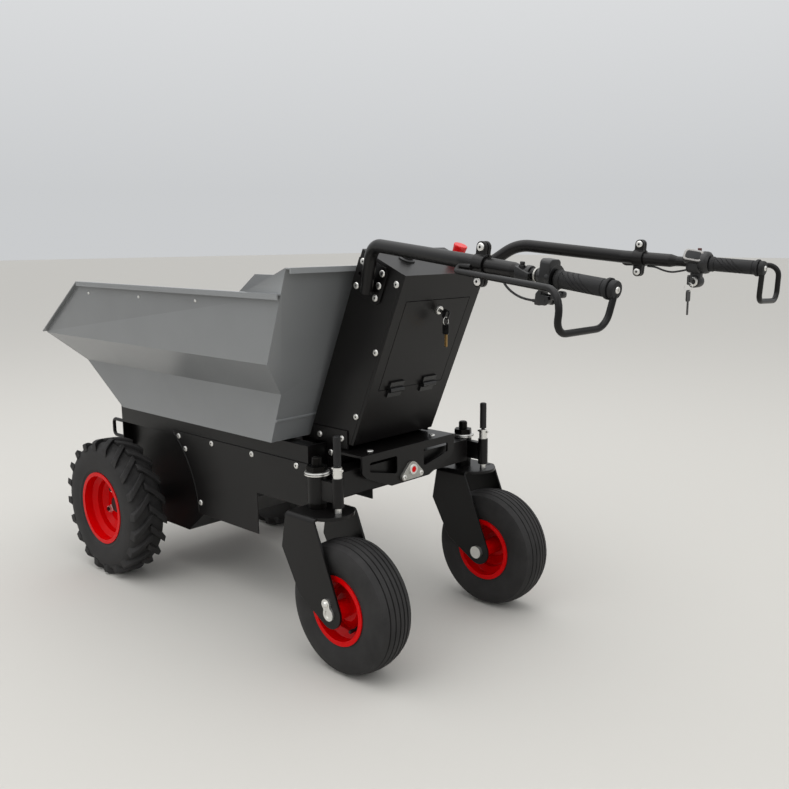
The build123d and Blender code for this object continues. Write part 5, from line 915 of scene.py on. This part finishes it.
def makeThrottleBody(c):
    place = barPlace("right", bars["right"]["length"])
    barrelPlace = turnedAt(c["barrelSpot"], -90)
    blocks = [roundBox(c["block"]), roundBox(c["stalk"])]
    collar = turnRings(c["collar"], 56, False, turnedAt(c["collarSpot"]))
    pod = roundPlate(c["pod"])
    pod.matrix_world = podFrame(c)
    body = joinAll(blocks + [collar, pod, turnRings(c["barrel"], 48, False, barrelPlace)])
    body.matrix_world = place @ body.matrix_world
    finishPiece(body, "throttleBody", "chassis", blackAbs, 35, ("throttle_housing",))
    for key, name, finish in (("bezel", "displayBezel", silverAbs), ("window", "displayWindow", darkGlass)):
        plate = roundPlate(c[key])
        plate.matrix_world = place @ podFrame(c) @ Matrix.Translation((0, 0, c[key]["lift"]))
        finishPiece(plate, name, "chassis", finish, 35)
    button = turnRings(c["button"], 32, False, place @ turnedAt(c["buttonSpot"], 90, "Y"))
    finishPiece(button, "maroonButton", "knob_red", maroonAbs, 30, ("red_button",))
    ring = turnRings(c["keyRing"], 40, True, place @ barrelPlace)
    finishPiece(ring, "keyBarrelRing", "chassis", zincPlate, 35)


makeThrottleBody(throttleBody)

# left controls in the bar's own frame: wedge switch outside, housing before the grip, lever perch below
leftControls = {
    "wedge": {"size": (0.0260, 0.0240, 0.0320), "spot": (-0.0010, 0.0085, 0.1085), "fall": 0.0095,
              "bevel": 0.0016},
    "strap": [(0.0113, 0.1070), (0.0138, 0.1070), (0.0145, 0.1080), (0.0145, 0.1170), (0.0138, 0.1180),
              (0.0113, 0.1180)],
    "knob": [(0.0046, 0.0146), (0.0046, 0.0186), (0.0038, 0.0196)],
    "boss": [(0.0051, 0.0060), (0.0060, 0.0060), (0.0060, 0.0134), (0.0056, 0.0138), (0.0051, 0.0138)],
    "knobSeat": [(0.0051, 0.0045), (0.0051, 0.0400)],
    "knobSpot": (0, 0.0080, 0.1005),
    "wire": [(0.0113, 0.1280), (0.0122, 0.1280), (0.0128, 0.1286), (0.0128, 0.1314), (0.0122, 0.1320),
             (0.0113, 0.1320)],
    "box": {"size": (0.0530, 0.0320, 0.0220), "spot": (0.0065, 0.0080, 0.1610), "corner": 0.0085,
            "bevel": 0.0015},
    "flange": [(0.0113, 0.1600), (0.0225, 0.1600), (0.0245, 0.1620), (0.0252, 0.1660), (0.0250, 0.1700),
               (0.0235, 0.1724), (0.0113, 0.1728)],
    "perch": {"size": (0.0360, 0.0230, 0.0125), "spot": (-0.0330, 0, 0.1443), "fall": 0.0160,
              "bevel": 0.0020},
    "perchRing": [(0.0113, 0.1385), (0.0165, 0.1385), (0.0172, 0.1395), (0.0172, 0.1490), (0.0165, 0.1500),
                  (0.0113, 0.1500)],
    "cheek": {"size": (0.0180, 0.0260, 0.0026), "spot": (-0.0400, 0.0106, 0.1555), "corner": 0.0085,
              "bevel": 0.0006},
    "pin": [(0.0029, -0.0124), (0.0029, 0.0124)],
    "ferrule": [(0.0022, 0.1262), (0.0031, 0.1270), (0.0031, 0.1370), (0.0040, 0.1385)],
    "ferruleSpot": (-0.0460, 0, 0),
    "hub": [(0.0032, -0.0088), (0.0065, -0.0088), (0.0070, -0.0080), (0.0070, 0.0080), (0.0065, 0.0088),
            (0.0032, 0.0088)],
    "hubSpot": (-0.0400, 0, 0.1590),
    "arm": {"size": (0.0080, 0.0160, 0.0270), "spot": (-0.0308, 0, 0.1745), "lean": 30.6, "bevel": 0.0025},
    "pad": {"size": (0.0120, 0.0176, 0.0130), "spot": (-0.0255, 0, 0.1870), "bevel": 0.0045},
}


def makeLeftControls(c):
    place = barPlace("left", bars["left"]["length"])
    upright = turnedAt(c["knobSpot"], 90, "Y")
    pinPlace = turnedAt(c["hubSpot"], 90)
    wedge = slopedBlock(c["wedge"], True)
    cutAway(wedge, turnRings(c["knobSeat"], 32, False, upright))
    boss = turnRings(c["boss"], 32, True, upright)
    box = roundPlate(c["box"])
    box.matrix_world = turnedAt(c["box"]["spot"])
    perch = slopedBlock(c["perch"], False)
    rings = [turnRings(c[key], 48, True) for key in ("strap", "flange", "perchRing")]
    parts = [wedge, boss, box, perch] + rings
    x, y, z = c["cheek"]["spot"]
    cheek = roundPlate(c["cheek"])
    parts.append(copyAt(cheek, turnedAt((x, -y, z), 90)))
    cheek.matrix_world = turnedAt((x, y, z), 90)
    pin = turnRings(c["pin"], 24, False, pinPlace)
    ferrule = turnRings(c["ferrule"], 24, False, turnedAt(c["ferruleSpot"]))
    body = joinAll(parts + [cheek, pin, ferrule])
    body.matrix_world = place @ body.matrix_world
    finishPiece(body, "leftSwitches", "chassis", keyAbs, 35, ("left_controls",))
    knob = turnRings(c["knob"], 32, False, place @ upright)
    finishPiece(knob, "leftKnob", "knob_left", keyAbs, 30, ("left_button",))
    wire = turnRings(c["wire"], 48, True, place)
    finishPiece(wire, "barClampRing", "chassis", bearingSteel, 30)
    lever = joinAll([turnRings(c["hub"], 32, True, pinPlace), roundBox(c["arm"]), roundBox(c["pad"])])
    lever.matrix_world = place @ lever.matrix_world
    finishPiece(lever, "crankedLever", "lever", keyAbs, 35, ("thumb_lever",))


makeLeftControls(leftControls)

# rubber end caps on the bars, under the end screws
endCap = {
    "rings": [(0.0130, 0.0003), (0.0155, 0.0010), (0.0159, 0.0040), (0.0157, 0.0095), (0.0145, 0.0118),
              (0.0100, 0.0123)],
}


def makeEndCaps(c):
    cap = turnRings(c["rings"], 48, False)
    other = copyAt(cap, barPlace("right"))
    cap.matrix_world = barPlace("left")
    finishPiece(joinAll([cap, other]), "barEndCaps", "chassis", gripRubber, 30)


makeEndCaps(endCap)

# hand guards: rod with a hairpin beside the tube, run outwards, loop up to the bar's end; corner, bend radius
guardRods = {
    "radius": 0.0060,
    "left": [((-0.7160, 0.3170, 0.9570), 0), ((-0.6790, 0.3075, 0.9590), 0.0062),
             ((-0.6790, 0.3165, 0.9490), 0.0062), ((-1.0030, 0.4515, 0.9305), 0.036),
             ((-0.9935, 0.4515, 0.8610), 0.024), ((-1.0080, 0.3270, 0.8640), 0.034),
             ((-1.0143, 0.3133, 0.9165), 0)],
    "right": [((-0.7160, -0.3170, 0.9570), 0), ((-0.6790, -0.3075, 0.9590), 0.0062),
              ((-0.6790, -0.3165, 0.9490), 0.0062), ((-1.0000, -0.4515, 0.9460), 0.024),
              ((-0.9970, -0.4515, 0.8655), 0.024), ((-1.0050, -0.3270, 0.8710), 0.024),
              ((-1.0143, -0.3133, 0.9335), 0)],
}


def makeGuardRods(c):
    rods = [bendRod(c[side], c["radius"], 6) for side in ("left", "right")]
    finishPiece(joinAll(rods), "bentGuardRods", "chassis", blackPaint, 40, ("guard_rods",))


makeGuardRods(guardRods)

# right handle: foot plate with an open bolt hole, tube with a longer and rounder bend than the left one
rightHandle = {
    "tube": [((-0.27908, -0.1650, 0.88778), 0), ((-0.4270, -0.2230, 0.9930), 0.095),
             ((-0.68229, -0.29792, 0.96487), 0.062), ((-0.72715, -0.3000, 0.9620), 0)],
    "radius": 0.0150,
    "plate": {"size": (0.1000, 0.0940, 0.0050), "spot": (-0.27537, -0.1495, 0.91444), "corner": 0.0120,
              "bevel": 0.0008},
    "lean": 23.4,
    "hole": [(0.0050, -0.0200), (0.0050, 0.0200)],
    "holeSpot": (-0.24416, -0.1495, 0.92795),
}


def makeRightHandle(c):
    flat = Matrix.Rotation(radians(-c["lean"]), 4, "Y") @ Matrix.Rotation(pi / 2, 4, "X")
    plate = roundPlate(c["plate"], 1)
    plate.matrix_world = Matrix.Translation(c["plate"]["spot"]) @ flat
    cutAway(plate, turnRings(c["hole"], 32, False, Matrix.Translation(c["holeSpot"]) @ flat))
    tube = bendRod(c["tube"], c["radius"], 12)
    handle = joinAll([plate, tube])
    finishPiece(handle, "bentHandleRight", "chassis", blackPaint, 40, ("right_handle",))


makeRightHandle(rightHandle)

# bearing insert: plated ring round the rock pin's end, the red end left open in its middle
pinRing = {
    "spot": (-0.2712, 0, 0.427),
    "rings": [(0.0080, 0.0), (0.0080, 0.0036), (0.0090, 0.0042), (0.0130, 0.0038), (0.0140, 0.0024),
              (0.0140, 0.0)],
}


def makePinRing(c):
    ring = turnRings(c["rings"], 48, True, alongAxis(c["spot"], (-1, 0, 0)))
    finishPiece(ring, "rockPinRing", "rear_axle", zincPlate, 30)


makePinRing(pinRing)

# painted shade: a thin black-oxide band round the kingpin cover rings, where two discs meet, stands in for
# the shaded groove there
paintedGrooveShade = {
    "spot": (-0.21215, 0.272, 0.463),
    "rings": [(0.0302, -0.0010), (0.0309, -0.0005), (0.0309, 0.0005), (0.0302, 0.0010)],
}


def makePaintedGrooveShades(c):
    x, y, z = c["spot"]
    # seam: the thin band that carries the painted shade of the groove
    seam = turnRings(c["rings"], 64, True)
    other = copyAt(seam, turnedAt((x, -y, z)))
    seam.matrix_world = turnedAt((x, y, z))
    finishPiece(seam, "paintedGrooveShadeLeft", "caster_left", blackOxide, 30)
    finishPiece(other, "paintedGrooveShadeRight", "caster_right", blackOxide, 30)


makePaintedGrooveShades(paintedGrooveShade)

# tyre valves: rubber stem and cap through the caster rims' discs
valve = {
    "axle": (-0.32215, 0.272, 0.161),
    "radius": 0.056,
    "angle": 236,
    "start": 0.006,
    "rings": [(0.0052, 0.0), (0.0058, 0.006), (0.0042, 0.010), (0.0038, 0.020), (0.0045, 0.0205),
              (0.0045, 0.029), (0.0036, 0.0305)],
}


def makeValves(c):
    x, y, z = c["axle"]
    x, z = x + c["radius"] * cos(radians(c["angle"])), z + c["radius"] * sin(radians(c["angle"]))
    stem = turnRings(c["rings"], 24, False)
    other = copyAt(stem, alongAxis((x, -y - c["start"], z), (0, -1, 0)))
    stem.matrix_world = alongAxis((x, y + c["start"], z), (0, 1, 0))
    finishPiece(stem, "tyreValveLeft", "caster_wheel_left", gripRubber, 30)
    finishPiece(other, "tyreValveRight", "caster_wheel_right", gripRubber, 30)


makeValves(valve)

# hopper: rivets under the rims and the welded seam low on the back wall
hopperTrim = {
    "rivets": [(0.7306, 0.325, 0.8523), (0.4513, 0.325, 0.8528), (0.1792, 0.325, 0.8546)],
    "rivet": [(0.0042, -0.0004), (0.0040, 0.0010), (0.0031, 0.0021), (0.0015, 0.0026)],
    "seam": {"size": (0.0060, 0.5236, 0.0080), "spot": (-0.0496, 0, 0.5625), "lean": -19.5, "bevel": 0.0026},
}


def makeHopperTrim(c):
    model = turnRings(c["rivet"], 24, False)
    parts = []
    for x, y, z in c["rivets"]:
        for side in (1, -1):
            parts.append(copyAt(model, alongAxis((x, side * y, z), (0, side, 0))))
    bpy.data.objects.remove(model)
    finishPiece(joinAll(parts), "rimRivets", "hopper", zincPlate, 35)
    finishPiece(roundBox(c["seam"]), "hopperSeam", "hopper", greyPaint, 35)


makeHopperTrim(hopperTrim)

# folded hopper: the sheet's folds bent to a radius, its cut edges eased
foldedHopper = {"fold": 0.0050, "foldAngles": (15, 75), "edge": 0.0007}


def makeFoldedHopper(c):
    source = nodes["hopper_shell"]
    hopper = bpy.data.objects.new("foldedHopper", source.data.copy())
    bpy.context.collection.objects.link(hopper)
    hopper.matrix_world = source.matrix_world
    pickOnly(hopper)
    bpy.ops.mesh.customdata_custom_splitnormals_clear()
    editAll(hopper)
    bpy.ops.mesh.remove_doubles(threshold=1e-5)
    bpy.ops.mesh.dissolve_limited(angle_limit=radians(0.5))
    bpy.ops.object.mode_set(mode="OBJECT")
    normals = {}
    for face in hopper.data.polygons:
        for key in face.edge_keys:
            normals.setdefault(key, []).append(face.normal.copy())
    spots = [v.co.copy() for v in hopper.data.vertices]
    least, most = (radians(angle) for angle in c["foldAngles"])
    folds = set()
    for (i, k), pair in normals.items():
        if len(pair) == 2 and least < pair[0].angle(pair[1]) < most:
            folds.add(frozenset((tuple(spots[i]), tuple(spots[k]))))
    editEdges(hopper, lambda a, b: frozenset((tuple(a), tuple(b))) in folds)
    bpy.ops.mesh.bevel(offset=c["fold"], segments=4, affect="EDGES", clamp_overlap=True)
    bpy.ops.object.mode_set(mode="OBJECT")
    easeEdges(hopper, c["edge"], 50)
    bpy.ops.object.modifier_apply(modifier="ease")
    finishPiece(hopper, "foldedHopper", "hopper", greyPaint, 6, ("hopper_shell",))


makeFoldedHopper(foldedHopper)

# wheel arches: rolled edge along the covers' cut-outs, angles from the axle's rear
archBead = {
    "axle": (0.68785, 0, 0.207),
    "radius": 0.3120,
    "y": 0.2158,
    "thick": 0.0024,
    "from": 4.0,
    "to": 51.5,
    "steps": 40,
}


def makeArchBeads(c):
    parts = []
    for side in (1, -1):
        bpy.ops.object.select_all(action="DESELECT")
        bpy.ops.mesh.primitive_circle_add(vertices=16, radius=c["thick"], fill_type="NGON",
                                          location=(0, 0, 0))
        bead = bpy.context.object
        editAll(bead)
        bpy.ops.transform.translate(value=(-c["radius"], side * c["y"], 0))
        bpy.ops.mesh.spin(steps=c["steps"], angle=radians(c["to"] - c["from"]), center=(0, side * c["y"], 0),
                          axis=(0, -1, 0))
        bpy.ops.mesh.select_all(action="SELECT")
        bpy.ops.mesh.normals_make_consistent(inside=False)
        bpy.ops.object.mode_set(mode="OBJECT")
        bead.matrix_world = turnedAt(c["axle"], c["from"], "Y")
        parts.append(bead)
    finishPiece(joinAll(parts), "archBeads", "chassis", blackPaint, 40)


makeArchBeads(archBead)
print("small pieces made")
